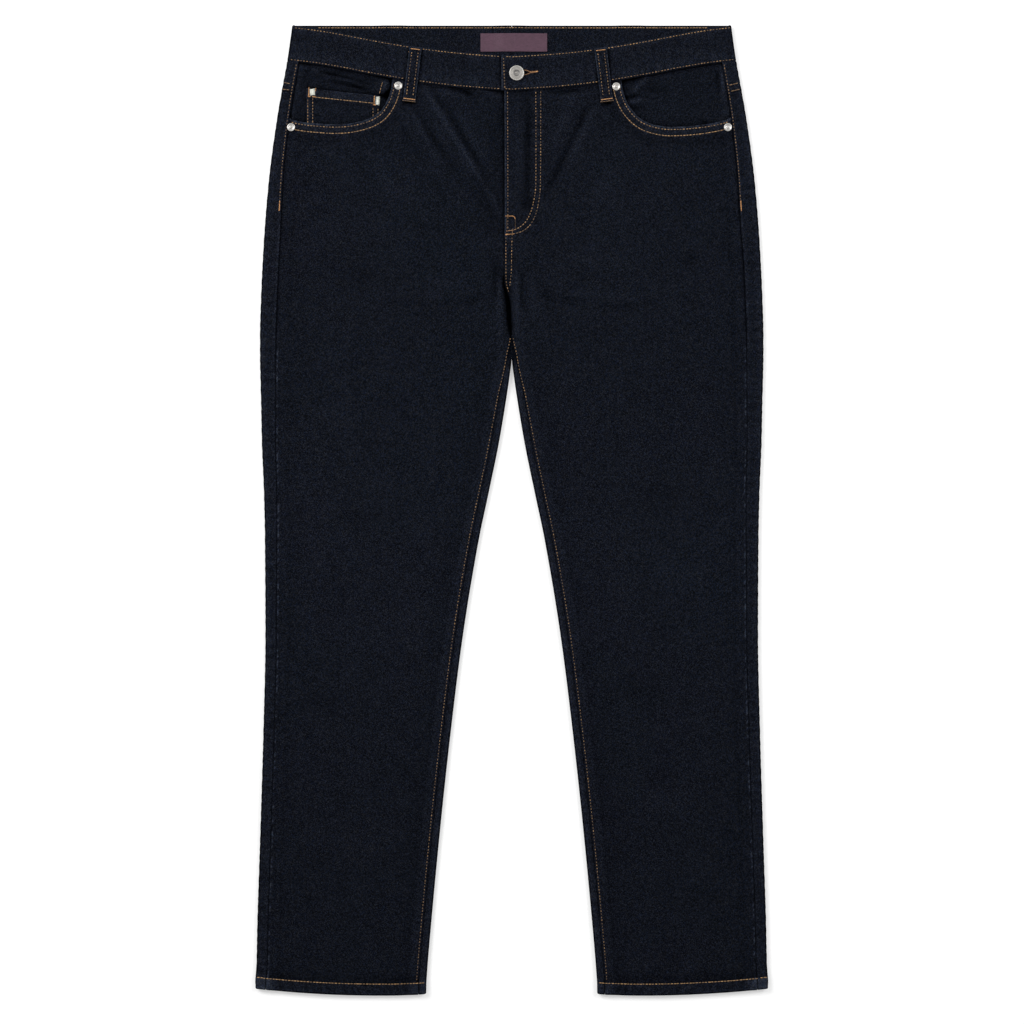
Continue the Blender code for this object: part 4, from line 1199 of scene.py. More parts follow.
facing = {
    "start": 0.1145, "tuck": 0.0030, "columns": 84, "rows": 54, "sink": (0.050, 0.067), "crease": 1.15,
    # painted shade by the mouth, the outseam, the waistband and the top corner; painted light beside the outseam and
    # below the waistband; painted light and shade of the creases
    "mouth": ((-0.42, 0.0, 0.0036),), "outseam": ((-0.50, 0.0, 0.0012),), "glow": 0.42,
    "band": ((-0.62, 0.0, 0.0022), (-0.12, 0.0, 0.0080)), "bandGlow": ((0.24, 0.0048, 0.0022),),
    "corner": ((-0.50, 0.128, 0.014, 0.0, 0.0060),),
    "creaseSpots": ((0.80, -0.1395, 0.0036, 0.0650, 0.0050), (-0.95, -0.1372, 0.0050, 0.0758, 0.0036),
                    (-0.90, -0.1318, 0.0024, 0.0630, 0.0075)),
}
facingLow = ((0.1130, 0.070), (0.1175, 0.094), (0.1260, 0.106), (0.1400, 0.1145), (0.1600, 0.1172),
             (0.1900, 0.1175), (0.2400, 0.1125), (0.2600, 0.108))
coinPocket = {"left": 0.2202, "right": 0.1400, "topLeft": 0.0682, "topRight": 0.0766, "bottom": 0.1150,
              "topRow": 0.0087, "sideRows": (0.0018, 0.0072)}


def coinTopDown(x):  # x is a true place, on the wearer's right
    share = (x - centreShift + coinPocket["left"]) / (coinPocket["left"] - coinPocket["right"])
    return mix(coinPocket["topLeft"], coinPocket["topRight"], share)


coinLeft = centreShift - coinPocket["left"]
coinRight = centreShift - coinPocket["right"]
coinRows = {
    "top": byAcross(lambda x: coinTopDown(x) + coinPocket["topRow"], coinLeft + 0.0050, coinRight - 0.0052),
    "leftOuter": byDown(lambda down: coinLeft + coinPocket["sideRows"][0], 0.0782, 0.1080),
    "leftInner": byDown(lambda down: coinLeft + coinPocket["sideRows"][1], 0.0785, 0.1095),
    "rightOuter": byDown(lambda down: coinRight - coinPocket["sideRows"][0], 0.0890, 0.1010),
    "rightInner": byDown(lambda down: coinRight - coinPocket["sideRows"][1], 0.0885, 0.1030),
}
facingRow = rounded(millimetres((-140.4, 59.6), (-142.6, 67.0), (-144.6, 75.4)))


def facingTop(x, down, side):
    x, down = grids(x, down)
    depth = layer if side > 0 else layer * (1.0 + ease(*facing["sink"], down))
    rows = [facingRow] if side < 0 else []
    high = frontFace(x, down) - depth + creaseHeight(x, down, pocketCreases) * 0.9
    high = high + (0.0009 if side > 0 else 0.0012) * hump(outseamX(down, side) - np.abs(x), 0.0034, 0.0020)
    return high - 0.00015 + rowRelief(x, down, rows, pucker=0.0) if rows else high - 0.00015


def coinTop(x, down):
    x, down = grids(x, down)
    edge = 0.00035 * (1.0 - ease(0.0085, 0.0105, down - coinTopDown(x)))
    return frontFace(x, down) - layer + edge - 0.00010 + rowRelief(x, down, list(coinRows.values()), pucker=0.00008)


def buildFacing(side, material):
    shift = side * centreShift
    high, low = [], []
    for share in np.linspace(0.0, 1.0, facing["columns"]):
        x = mix(facing["start"] + shift, 0.2450, share)
        high.append((x, float(bandLowDown(x)) + gap))
        low.append((x, float(through(facingLow, x - shift))))
    high, low = np.array(high), np.array(low)
    grid = np.array([mix(high, low, share) for share in np.linspace(0.0, 1.0, facing["rows"])])
    limit = outseamX(grid[..., 1], side) + facing["tuck"]
    squeeze = ramp(0.200, 0.245, grid[..., 0])
    grid[..., 0] = mix(grid[..., 0], np.minimum(grid[..., 0] + 0.012 * squeeze, limit), squeeze)
    for column in range(grid.shape[1]):  # the top edge follows the waistband
        start = float(bandLowDown(grid[0, column, 0])) + gap
        grid[:, column, 1] = mix(start, grid[-1, column, 1], np.linspace(0.0, 1.0, facing["rows"]))
    x, down = grid[..., 0] * side, grid[..., 1]
    points = place(x, down, facingTop(x, down, side))
    away, share = alongLine(x, down, mouthLines[side])
    toSeam = outseamX(down, side) - np.abs(x)
    under = down - bandLowDown(x)
    # painted light and shade of the creases, painted shade by the mouth, the waistband and the outseam, and painted
    # light beside the outseam
    wearAndShading = facing["crease"] * creaseHeight(x, down, pocketCreases) / mm - 0.08 + humps(away, facing["mouth"])
    wearAndShading += humps(under, facing["band"]) + humps(toSeam, facing["outseam"])
    wearAndShading += facing["glow"] * hump(toSeam, 0.0030, 0.0026) * ease(0.002, 0.006, under)
    wearAndShading += humps(under, facing["bandGlow"]) * ramp(0.200, 0.222, np.abs(x))
    wearAndShading += spots(np.abs(x), under, facing["corner"])
    if side < 0:
        # painted shadow of the coin pocket, beside its left edge and above its top
        wearAndShading -= 0.22 * hump(x, coinLeft, 0.0050) + 0.55 * hump(down, coinTopDown(x) - 0.0010, 0.0020) * (x > coinLeft)
        wearAndShading += spots(x, down, facing["creaseSpots"])
    return cloth("facingCloth", side, points, clothWall, wearAndShading, material, flip=side > 0)


def buildCoinPocket(material):
    xs = spaced(coinLeft, coinRight, 0.0022, (0.0009, 0.0018, 0.0030), (0.0009, 0.0018, 0.0030))
    rows = []
    for share in spaced(0.0, 1.0, 0.055, (0.020, 0.045, 0.075), (0.030,)):
        downs = mix(coinTopDown(xs), coinPocket["bottom"], share)
        rows.append(np.stack([xs, downs], axis=1))
    x, down = np.moveaxis(np.array(rows), -1, 0)
    points = place(x, down, coinTop(x, down))
    top = down - coinTopDown(x)
    side = np.minimum(x - coinLeft, coinRight - x)
    away = alongLine(x, down, mouthLines[-1])[0]
    # paler along the top hem and the sides, partly wear and partly painted light; painted shade below the hem's row and
    # under the front's mouth
    wearAndShading = 0.40 * ease(0.0105, 0.0085, top) + 0.25 * hump(top, 0.0, 0.0014) + 0.22 * hump(side, 0.0030, 0.0040)
    wearAndShading -= 0.16 * hump(top, 0.0125, 0.0030) + 0.30 * hump(away, 0.0, 0.0060)
    return cloth("coinPocketCloth", 0, points, clothWall, wearAndShading, material, flip=True)


def backPocketLine(inset):  # its outline, moved in, from one top corner round to the other
    pocket = backPocket
    middle = (pocket["inner"] + pocket["outer"]) / 2
    slant = pocket["taper"] / (pocket["side"] - pocket["top"])
    fall = (pocket["tip"] - pocket["side"]) / (pocket["outer"] - pocket["taper"] - middle)
    low = pocket["side"] - inset * 0.75
    return np.array([
        (pocket["inner"] + inset, pocket["top"] + 0.0015),
        (pocket["inner"] + pocket["taper"] + inset - slant * inset, low),
        (middle, low + fall * (middle - pocket["inner"] - pocket["taper"] - inset)),
        (pocket["outer"] - pocket["taper"] - inset + slant * inset, low),
        (pocket["outer"] - inset, pocket["top"] + 0.0015),
    ])


backPocketRows = [backPocketLine(0.0018), backPocketLine(0.0080)]
backPocketTopRow = byAcross(lambda x: backPocket["top"] + 0.0110, backPocket["inner"] + 0.004,
                            backPocket["outer"] - 0.004)


def buildBackPocket(side, material):
    pocket = backPocket
    middle = (pocket["inner"] + pocket["outer"]) / 2
    spread = spaced(0.0, 1.0, 0.030, (0.008, 0.018), (0.008, 0.018))
    downs = [*spaced(pocket["top"], pocket["side"], 0.0040, (0.0009, 0.0020)),
             *np.linspace(pocket["side"], pocket["tip"], 8)[1:]]
    rows = []
    for down in downs:
        pull = pocket["taper"] * float(ramp(pocket["top"], pocket["side"], down))
        xs = mix(pocket["inner"] + pull, pocket["outer"] - pull, spread)
        point = float(ramp(pocket["side"], pocket["tip"], down))
        row = np.full(len(xs), down)
        if point > 0.0:  # the last rows bend down to the pocket's point
            reach = 1.0 - np.abs(xs - middle) / (xs[-1] - middle)
            row = pocket["side"] + (pocket["tip"] - pocket["side"]) * point * reach
            row = np.maximum(row, pocket["side"] + 0.0008 * point * 8)
        rows.append(np.stack([xs, row], axis=1))
    grid = np.array(rows)
    x = grid[..., 0]
    lift = -rowRelief(x, grid[..., 1], [*backPocketRows, backPocketTopRow], pucker=0.0)
    points = place(x * side, grid[..., 1], lift)
    return cloth("backPocketCloth", side, points, clothWall, None, material, flip=side < 0)


# belt loops, folded strips with a row of thread by each edge

loops = {"width": 0.0134, "rowInset": 0.0035, "topX": 0.1006, "lowX": 0.1078, "lowDown": 0.0832, "topInset": 0.0010,
         "thick": 0.0012, "bow": 0.0009}


def loopLine(side):  # top and bottom ends of a front loop's middle line
    topX = side * loops["topX"] + centreShift
    lowX = side * loops["lowX"] + centreShift
    return np.array([[topX, float(bandTopDown(topX)) + loops["topInset"]], [lowX, loops["lowDown"]]])


def loopFrame(side):  # its two ends, its way down, its way across, and its length
    top, low = loopLine(side)
    direction = low - top
    size = np.linalg.norm(direction)
    direction = direction / size
    return top, low, direction, np.array([direction[1], -direction[0]]), size


def loopTop(x, down, side):
    x, down = grids(x, down)
    (topX, topDown), (lowX, lowDown) = loopLine(side)
    share = (down - topDown) / (lowDown - topDown)
    middle = mix(topX, lowX, share)
    off = (x - middle) / (loops["width"] / 2)
    edge = topDown + bandWidth
    stepDown = ease(edge + 0.003, edge + 0.009, down)
    plain = mix(bandFace(x, down), frontFace(x, down) + 0.0003, stepDown) + gap + loops["thick"]
    bow = loops["bow"] * np.sin(np.pi * np.clip(share, 0, 1)) ** 0.8
    ends = 0.0007 * (hump(share, 0.0, 0.07) + 1.3 * hump(share, 1.0, 0.085))
    puff = 0.00042 * np.cos(off * np.pi * 0.5) ** 2 - 0.00030 * hump(np.abs(off), 0.50, 0.13)
    return plain + bow + ends + puff + 0.00010 * waviness(x, down, 0.011, 40 + int(side))


def loopOffs():  # places across a loop
    return spaced(-loops["width"] / 2, loops["width"] / 2, 0.0012, (0.0008, 0.0016), (0.0008, 0.0016))


def buildFrontLoop(side, material):
    top, low, direction, across, size = loopFrame(side)
    offs = loopOffs()
    shares = spaced(0.0, 1.0, 0.035, (0.018, 0.040), (0.018, 0.040))
    middle = top + shares[:, None] * (low - top)
    flare = 1.0 + 0.05 * hump(shares, 1.0, 0.06) + 0.03 * hump(shares, 0.0, 0.06)
    grid = middle[:, None, :] + (offs[None, :] * flare[:, None])[..., None] * across
    points = place(grid[..., 0], grid[..., 1], loopTop(grid[..., 0], grid[..., 1], side))
    marks = dashes(0.06 * shares, 6 + side, 0.7)[:, None]
    wearAndShading = 0.12 - 0.30 * hump(np.abs(offs), 0.0018, 0.0009)[None, :] + 0.12 * ripples(0.06 * shares, side)[:, None]
    wearAndShading += (0.7 + 1.1 * marks) * hump(np.abs(offs), loops["width"] / 2, 0.0009)[None, :]
    wearAndShading = np.maximum(wearAndShading, 1.3 * hump(shares, 1.0, 0.020)[:, None] + 1.0 * hump(shares, 0.0, 0.020)[:, None])
    return cloth("loopCloth_front", side, points, loops["thick"], wearAndShading, material, flip=True)


def buildRearLoop(piece, side, material):
    x = side * sideLoopX
    offs = loopOffs()
    downs = spaced(0.0010, rearLoopBottom, 0.0024, (0.0009, 0.0020), (0.0009, 0.0020))
    xs, ds = np.meshgrid(x + offs, downs)
    dip = 0.00028 * hump(np.abs(xs - x), loops["rowInset"], 0.0009)
    points = place(xs, ds, dip)
    wearAndShading = np.broadcast_to(0.15 + 0.4 * hump(np.abs(offs), loops["width"] / 2, 0.0011), xs.shape)
    return cloth(piece, side, points, clothWall, wearAndShading, material)


# the woven label inside the back waistband, left bare

label = {"left": -0.0341, "right": 0.0387, "top": 0.0081, "bottom": 0.0281, "wall": 0.0006}


def labelTop(x, down):
    curl = 0.00018 * np.sin(np.pi * (x - label["left"]) / (label["right"] - label["left"]) * 3.0 + 0.6)
    return insideTop(x, down) + gap + label["wall"] + curl


def buildLabel(material):
    xs = spaced(label["left"], label["right"], 0.0015, (0.0005, 0.0010), (0.0005, 0.0010))
    downs = spaced(label["top"], label["bottom"], 0.0012, (0.0005, 0.0010), (0.0005, 0.0010))
    gridX, gridDown = np.meshgrid(xs, downs)
    points = place(gridX, gridDown, labelTop(gridX, gridDown))
    return cloth("wovenLabel", 0, points, label["wall"], None, material, "label_weave", rounded=2, flip=True)


# threads: every stitch is a short, slightly sunk strand

strandProfile = (                      # the way along a strand, its breadth there, and its rise
    (0.0, 0.42, -0.75), (0.16, 0.92, 0.10), (0.5, 1.0, 1.0), (0.84, 0.92, 0.10), (1.0, 0.42, -0.75))


def threadMesh(name, starts, ends, ups, tones, radius, arch, material, seed=1, sides=6):
    # starts, ends, ups and tones hold a row for each strand. A strand is lowest at its two needle holes
    starts, ends, ups = (np.asarray(values, float) for values in (starts, ends, ups))
    count = len(starts)
    along = ends - starts
    size = np.linalg.norm(along, axis=1, keepdims=True)
    along /= np.maximum(size, 1e-9)
    ups = ups - along * np.sum(ups * along, axis=1, keepdims=True)
    ups /= np.maximum(np.linalg.norm(ups, axis=1, keepdims=True), 1e-9)
    across = np.cross(along, ups)
    profile = strandProfile
    rng = np.random.default_rng(seed)
    wide = radius * rng.uniform(0.90, 1.10, (count, 1))
    rings = []
    for share, breadth, rise in profile:
        centre = starts + along * size * share + ups * arch * rise
        for k in range(sides):
            turn = 2 * math.pi * k / sides
            rings.append(centre + wide * breadth * (math.cos(turn) * across + 0.85 * math.sin(turn) * ups))
    per = len(profile) * sides
    points = np.stack(rings, axis=1).reshape(-1, 3)
    faces = []
    for ring in range(len(profile) - 1):
        for k in range(sides):
            a, b = ring * sides + k, ring * sides + (k + 1) % sides
            faces.append((a, b, b + sides, a + sides))
    template = np.array(faces)
    allFaces = (template[None] + per * np.arange(count)[:, None, None]).reshape(-1, 4).tolist()
    last = per - sides
    for n in range(count):
        allFaces.append([n * per + k for k in reversed(range(sides))])
        allFaces.append([n * per + last + k for k in range(sides)])
    thing = newThing(name, points.tolist(), allFaces)
    keepValues(thing, "tone", np.repeat(tones, per))
    keepValues(thing, "run", np.tile(np.repeat([share for share, _, _ in profile], sides), count))
    shadeRound(thing)
    thing.data.materials.append(material)
    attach(thing, "root")
    return thing


def stitchEnds(row, surface, up, look, rng):
    # start and end of each stitch along a row, on its surface
    pitch = stitching["pitch"]
    size, low, high, skew = stitching["looks"][look]
    line = resampled(row, 0.0005)
    runs = np.linspace(0.0, lineSteps(line).sum(), len(line))
    count = max(1, int(runs[-1] / pitch))
    slack = (runs[-1] - count * pitch) / 2
    begin = slack + pitch * np.arange(count) + (pitch - size) / 2 + rng.uniform(-0.00028, 0.00028, count)
    ends = []
    for at in (begin, begin + size * rng.uniform(0.82, 1.12, count)):
        x, down = np.interp(at, runs, line[:, 0]), np.interp(at, runs, line[:, 1])
        ends.append(place(x, down, surface(x, down)))
    ups = np.tile([0.0, 0.0, up], (count, 1))
    return ends[0], ends[1], ups, mix(low, high, rng.uniform(0.0, 1.0, count) ** skew)


def sewn(name, rows, material, radius=None, seed=1, arch=0.00020):
    # rows holds (path, surface, up, look) for each row of stitches
    rng = np.random.default_rng(seed)
    parts = [stitchEnds(path, surface, up, look, rng) for path, surface, up, look in rows]
    starts, ends, ups, tones = (np.concatenate(values) for values in zip(*parts))
    return threadMesh(name, starts, ends, ups, tones, radius or stitching["radius"], arch, material, seed)


def tackEnds(line, surface, breadth, spacing=0.00052, lean=0.25, up=1.0):
    # a bar tack: strands laid side by side across a short line
    path = resampled(line, spacing)
    tangent = np.gradient(path, axis=0)
    tangent /= np.linalg.norm(tangent, axis=1, keepdims=True)
    side = np.stack([-tangent[:, 1], tangent[:, 0]], axis=1) * breadth / 2
    skew = tangent * breadth * lean / 2
    swing = np.where(np.arange(len(path)) % 2 == 0, 1.0, -1.0)[:, None]
    ends = []
    for sign in (1.0, -1.0):
        spot = path + sign * (side + skew * swing)
        ends.append(place(spot[:, 0], spot[:, 1], surface(spot[:, 0], spot[:, 1])))
    return ends[0], ends[1], np.tile([0.0, 0.0, up], (len(path), 1))


def tacked(name, tacks, material, radius=0.00034, arch=0.00026, seed=5, tones=(0.0, 1.0)):
    parts = [tackEnds(line, surface, breadth, up=up) for line, surface, breadth, up in tacks]
    starts, ends, ups = (np.vstack(values) for values in zip(*parts))
    shades = np.random.default_rng(seed).uniform(*tones, len(starts))
    return threadMesh(name, starts, ends, ups, shades, radius, arch, material, seed, sides=5)


def loopStrip(side, share, inset=0.0007):  # a short line across a front loop
    top, low, direction, across, size = loopFrame(side)
    reach = across * (loops["width"] / 2 - inset)
    return np.array([mix(top, low, share) - reach, mix(top, low, share) + reach])


def loopRow(side, off):
    start, low, direction, across, size = loopFrame(side)
    return np.array([start + direction * along + across * off for along in (0.0035, size - 0.0052)])


def topOf(function, side):
    return lambda x, down: function(x, down, side)


def flatAt(high):  # a flat surface for threads on the hidden side
    return lambda x, down: high


def sewFronts(material):
    for side in sideWord:
        front = topOf(frontTop, side)
        looks = ["faint"] + ["dull"] * 4 if side > 0 else []
        rows = [(row, front, 1.0, look)
                for row, look in zip(frontRows[side], looks + ["plain", "bright", "faint", "bright"])]
        if side > 0:  # the fly's two rows close up where they turn
            rows += [(row[row[:, 1] > 0.214], front, 1.0, "plain") for row in (flyRows["inner"], flyRows["outer"])]
        sewn("stitches_front_" + sideWord[side], rows, material, seed=11 + side)
        rows = [(row, topOf(wrapTop, side), 1.0, look)
                for row, look in zip(wrapRows[side], ("faint", "drawn", "drawn", "bright"))]
        sewn("stitches_outseam_" + sideWord[side], rows, material, seed=21 + side)


def sewWaistband(material):
    lap, clear = lapEdge, stitching["loopClear"]
    rows = []
    for name, look, lean in (("top", "plain", 0.0), ("bottom", "dull", 0.0045)):  # the loops lean outwards
        left, right = (side * (loops["topX"] + lean) + centreShift for side in (1, -1))
        for side, low, high in ((1, lap + 0.0018, left - clear), (1, left + clear, 1.0),
                                (-1, right + clear, lap - 0.0005), (-1, -1.0, right - clear)):
            row = bandRows[name]
            row = resampled(row[(row[:, 0] > low) & (row[:, 0] < high)], 0.002)
            rows.append((row, topOf(bandTop, side), 1.0, look))
    rows.append((bandRows["insideTop"], insideTop, 1.0, "bright"))
    sewn("stitches_waistband", rows, material, seed=31)
    sewn("stitches_waistband_end", [(bandRows["end"], topOf(bandTop, 1), 1.0, "faint")], material,
         radius=stitching["bandEndRadius"], seed=33)


def sewTrims(material):
    rows = [(loopRow(side, off), topOf(loopTop, side), 1.0, "dull")
            for side in (1, -1) for off in (-loops["rowInset"], loops["rowInset"])]
    sewn("stitches_loops", rows, material, seed=37)
    rows = [(row, coinTop, 1.0, "bright" if name == "top" else "plain") for name, row in coinRows.items()]
    sewn("stitches_coin_pocket", rows, material, radius=stitching["coinRadius"], seed=41)
    sewn("stitches_facing", [(facingRow, topOf(facingTop, -1), 1.0, "bright")], material,
         radius=stitching["facingRadius"], seed=43)


def sewBack(material):
    # the hidden side: yoke, seat seam, waistband, back pockets, hems and loops, with threads facing the ground
    reach = section("half", 0.07) - 0.006
    lines = [byAcross(lambda x: yokeSeamDown(x) - inset, -reach, reach, 160) for inset in stitching["yokeRows"]]
    lines += [byDown(lambda down: x, 0.1150, apex - 0.010) for x in stitching["seatRows"]]
    lines += [byAcross(lambda x: down, -0.230, 0.230, 160)
              for down in (stitching["bandRow"], bandWidth - stitching["bandRow"])]
    rows = [(line, raisedOverTrim, -1.0, "plain") for line in lines]
    for side in (1, -1):
        rows += [(line if side > 0 else mirror(line), flatAt(0.00005), -1.0, "plain")
                 for line in (*backPocketRows, backPocketTopRow)]
        hem = byAcross(lambda x: length - stitching["hemRow"], side * 0.0965, side * 0.2765)
        rows.append((hem, raisedOverTrim, -1.0, "bright"))
    rows += [(byDown(lambda down: x + off, 0.0045, rearLoopBottom - 0.0030, 20), flatAt(0.00028), -1.0, "dull")
             for x in rearLoopPlaces for off in (-loops["rowInset"], loops["rowInset"])]
    sewn("stitches_back", rows, material, seed=47, arch=0.00012)


flyTacks = (                           # centre line, breadth
    (flyCorner, 0.0009),
    (millimetres((-6.6, 227.9), (2.4, 227.0)), 0.0009),
    (millimetres((-5.8, 223.9), (1.4, 223.3)), 0.0006),
    (millimetres((-6.4, 227.9), (-5.0, 227.6)), 0.0022),
)
faintTacks = ((flyCornerDown, 0.0005), (millimetres((-5.6, 209), (-5.4, 222)), 0.0004))
bandTack = millimetres((-111.9, 28.4), (-111.6, 30.3))


def sewTacks(tan, orange):
    front = topOf(frontTop, 1)
    tacks = []
    for side in (1, -1):
        top = topOf(loopTop, side)
        tacks.append((loopStrip(side, 0.038, 0.0020), top, 0.0010, 1.0))
        tacks.append((loopStrip(side, 0.955, 0.0006), top, 0.0012, 1.0))
        x = side * (outseamX(0.196, side) + stitching["outseamRow"][side])
        tacks.append((np.array([[x, 0.1912], [x + side * 0.0006, 0.2018]]), topOf(wrapTop, side), 0.0012, 1.0))
    tacks += [(line, front, breadth, 1.0) for line, breadth in flyTacks]
    tacks.append((bandTack, topOf(bandTop, -1), 0.0010, 1.0))
    tacked("bar_tacks", tacks, orange, tones=(0.45, 1.0))
    tacks = [(loopStrip(side, 0.995, -0.0004), topOf(loopTop, side), 0.0007, 1.0) for side in (1, -1)]
    tacked("loop_ends", tacks, tan, radius=0.00030, seed=7, tones=(0.0, 0.6))
    tacks = [(line, front, breadth, 1.0) for line, breadth in faintTacks]
    tacked("faint_tacks", tacks, tan, radius=0.00026, seed=9, tones=(0.0, 0.15))
    places = [(x, 0.0055, down) for x in rearLoopPlaces for down in (0.0028, rearLoopBottom - 0.0016)]
    places += [(side * x, 0.0040, backPocket["top"] + 0.0016) for side in (1, -1)
              for x in (backPocket["inner"] + 0.0048, backPocket["outer"] - 0.0048)]
    tacks = [(np.array([[x - half, down], [x + half, down]]), flatAt(0.0001), 0.0018, -1.0)
             for x, half, down in places]
    tacked("bar_tacks_back", tacks, orange, arch=0.00015)


# the buttonhole, and the pale tacks that hold the coin pocket's corners

buttonhole = {"eye": 0.0023,           # its round end, and the wedge beyond: x, down and half width
              "mouth": (0.0145, 0.0518, 0.0015), "neck": (0.0186, 0.0515, 0.0005), "end": (0.0212, 0.0512, 0.0002),
              "low": 0.0045, "high": 0.0140}
buttonPlace = (0.0054, 0.0524)
buttonholeArms = {                     # a line and its breadth
    "upper": (rounded(millimetres((13.6, 49.2), (16.4, 49.5), (19.2, 50.6), (21.0, 51.1))), 0.0010),
    "lower": (rounded(millimetres((13.8, 54.2), (16.8, 53.5), (19.2, 52.4), (21.0, 51.6))), 0.0010),
    "tail": (rounded(millimetres((20.2, 51.4), (24.5, 51.0), (26.6, 50.8))), 0.0024),
}
buttonholeTip = millimetres((26.2, 50.8), (28.2, 50.4))


def cutButtonhole(band):
    x, down = buttonPlace
    turns = np.radians(np.arange(40, 321, 20))
    outline = [(x + buttonhole["eye"] * math.cos(t), down - buttonhole["eye"] * math.sin(t)) for t in turns]
    wedge = [buttonhole[name] for name in ("mouth", "neck", "end")]
    outline += [(px, pd + half) for px, pd, half in wedge] + [(px, pd - half) for px, pd, half in reversed(wedge)]
    count = len(outline)
    points = [(px, length / 2 - pd, z) for z in (buttonhole["low"], buttonhole["high"]) for px, pd in outline]
    faces = [tuple(reversed(range(count))), tuple(range(count, 2 * count))]
    faces += [(k, (k + 1) % count, (k + 1) % count + count, k + count) for k in range(count)]
    cutter = newThing("buttonholeCutter", points, faces)
    onlyActive(cutter)
    bpy.ops.object.mode_set(mode="EDIT")
    bpy.ops.mesh.select_all(action="SELECT")
    bpy.ops.mesh.normals_make_consistent(inside=False)
    bpy.ops.object.mode_set(mode="OBJECT")
    onlyActive(band)
    cut = band.modifiers.new("buttonhole", "BOOLEAN")
    cut.operation = "DIFFERENCE"
    cut.object = cutter
    bpy.ops.object.modifier_apply(modifier=cut.name)
    bpy.data.objects.remove(cutter)


def sewButtonhole(orange):
    top = topOf(bandTop, 1)
    arms = [(line, top, breadth, 1.0) for line, breadth in buttonholeArms.values()]
    tacked("stitches_buttonhole", arms, orange, radius=0.00030, seed=53, tones=(0.0, 0.30))
    tacked("tack_buttonhole", [(buttonholeTip, top, 0.0019, 1.0)], orange, radius=0.00032, seed=59, tones=(0.35, 0.9))


cornerTacks = (                        # centre line, breadth
    (millimetres((-217.4, 69.4), (-217.2, 75.4)), 0.0062),
    (millimetres((-145.8, 78.0), (-146.4, 86.0)), 0.0048),
)
cornerFrames = (
    (millimetres((-221.1, 67.6), (-221.3, 77.6)), 0.0013),
    (millimetres((-221.8, 77.0), (-219.6, 77.2)), 0.0017),
    (millimetres((-217.0, 77.3), (-214.2, 77.5)), 0.0017),
    (millimetres((-213.7, 68.4), (-214.0, 71.0)), 0.0010),
    (millimetres((-149.6, 76.9), (-150.1, 86.2)), 0.0014),
    (millimetres((-151.0, 86.1), (-148.6, 86.3)), 0.0015),
)


def sewCorners(orange, pale):
    def raised(x, down):
        return coinTop(x, down) + 0.00025
    tacked("corner_tacks", [(line, raised, breadth, 1.0) for line, breadth in cornerTacks], pale,
           radius=0.00042, arch=0.00045, seed=61)
    tacked("corner_frames", [(line, coinTop, breadth, 1.0) for line, breadth in cornerFrames], orange,
           radius=0.00034, seed=67)


# metal: discs drawn up ring by ring, on their seats

metalSizes = {
    "button": {"vertices": 56, "shank": 0.0015, "rim": 0.0082,
               "rings": ((0.0060, 0.0000), (0.0075, 0.0002), (0.0081, 0.0007), (0.0082, 0.0014), (0.0080, 0.0021),
                         (0.0076, 0.00238), (0.0072, 0.00236), (0.0068, 0.0021), (0.0066, 0.00185), (0.0062, 0.00182),
                         (0.0060, 0.00194), (0.0056, 0.00196), (0.0054, 0.00182), (0.0050, 0.00180), (0.0048, 0.00192),
                         (0.0044, 0.00194), (0.0042, 0.00182), (0.0038, 0.00184), (0.0035, 0.00178), (0.0028, 0.00135),
                         (0.0019, 0.00112), (0.0014, 0.00116), (0.0012, 0.00160), (0.0009, 0.00196), (0.0004, 0.00210)),
               "lean": 0.00045},       # the middle knob stands a little off centre
    "rivet": {"vertices": 40, "rim": 0.0045,
              "rings": ((0.0043, 0.0000), (0.0045, 0.0004), (0.0044, 0.0009), (0.0040, 0.00122), (0.0035, 0.00124),
                        (0.0031, 0.00098), (0.0026, 0.00058), (0.0021, 0.00046), (0.0016, 0.00056), (0.0013, 0.00100),
                        (0.0009, 0.00138), (0.0004, 0.00150))},
}
rivetPlaces = ((-0.1235, 0.0658), (-0.2404, 0.1110), (0.1139, 0.0667), (0.2355, 0.1109))


def onlyActive(thing):
    bpy.ops.object.select_all(action="DESELECT")
    thing.select_set(True)
    bpy.context.view_layer.objects.active = thing


def drawnDisc(name, x, down, seat, rings, vertices, foot=None, lean=0.0):
    # a filled circle, extruded, moved and resized to each ring in turn. Foot is a shank's (radius, depth)
    y = length / 2 - down
    bpy.ops.object.select_all(action="DESELECT")
    first = (foot[0], -foot[1]) if foot else rings[0]
    bpy.ops.mesh.primitive_circle_add(vertices=vertices, radius=first[0], fill_type="NGON",
                                      location=(x, y, seat + first[1]))
    thing = bpy.context.object
    thing.name = thing.data.name = name
    bpy.ops.object.transform_apply(location=True, rotation=True, scale=True)
    bpy.ops.object.mode_set(mode="EDIT")
    bpy.ops.mesh.select_mode(type="FACE")
    bpy.ops.mesh.select_all(action="SELECT")
    steps = [first] + ([(foot[0], rings[0][1] + 0.0001)] + list(rings) if foot else list(rings[1:]))
    for (radius, high), (nextRadius, nextHigh) in zip(steps, steps[1:]):
        aside = lean if nextRadius < 0.0020 and radius >= 0.0020 else 0.0
        bpy.ops.mesh.extrude_region_move(TRANSFORM_OT_translate={"value": (-aside, 0.0, nextHigh - high)})
        share = nextRadius / radius
        middle = x - (lean if nextRadius < 0.0020 else 0.0)
        bpy.ops.transform.resize(value=(share, share, 1.0), center_override=(middle, y, seat + nextHigh))
    bpy.ops.mesh.select_all(action="SELECT")
    bpy.ops.mesh.normals_make_consistent(inside=False)
    bpy.ops.object.mode_set(mode="OBJECT")
    smooth = thing.modifiers.new("smooth", "SUBSURF")
    smooth.levels = smooth.render_levels = 1
    onlyActive(thing)
    bpy.ops.object.modifier_apply(modifier=smooth.name)
    bpy.ops.object.shade_smooth()
    return thing


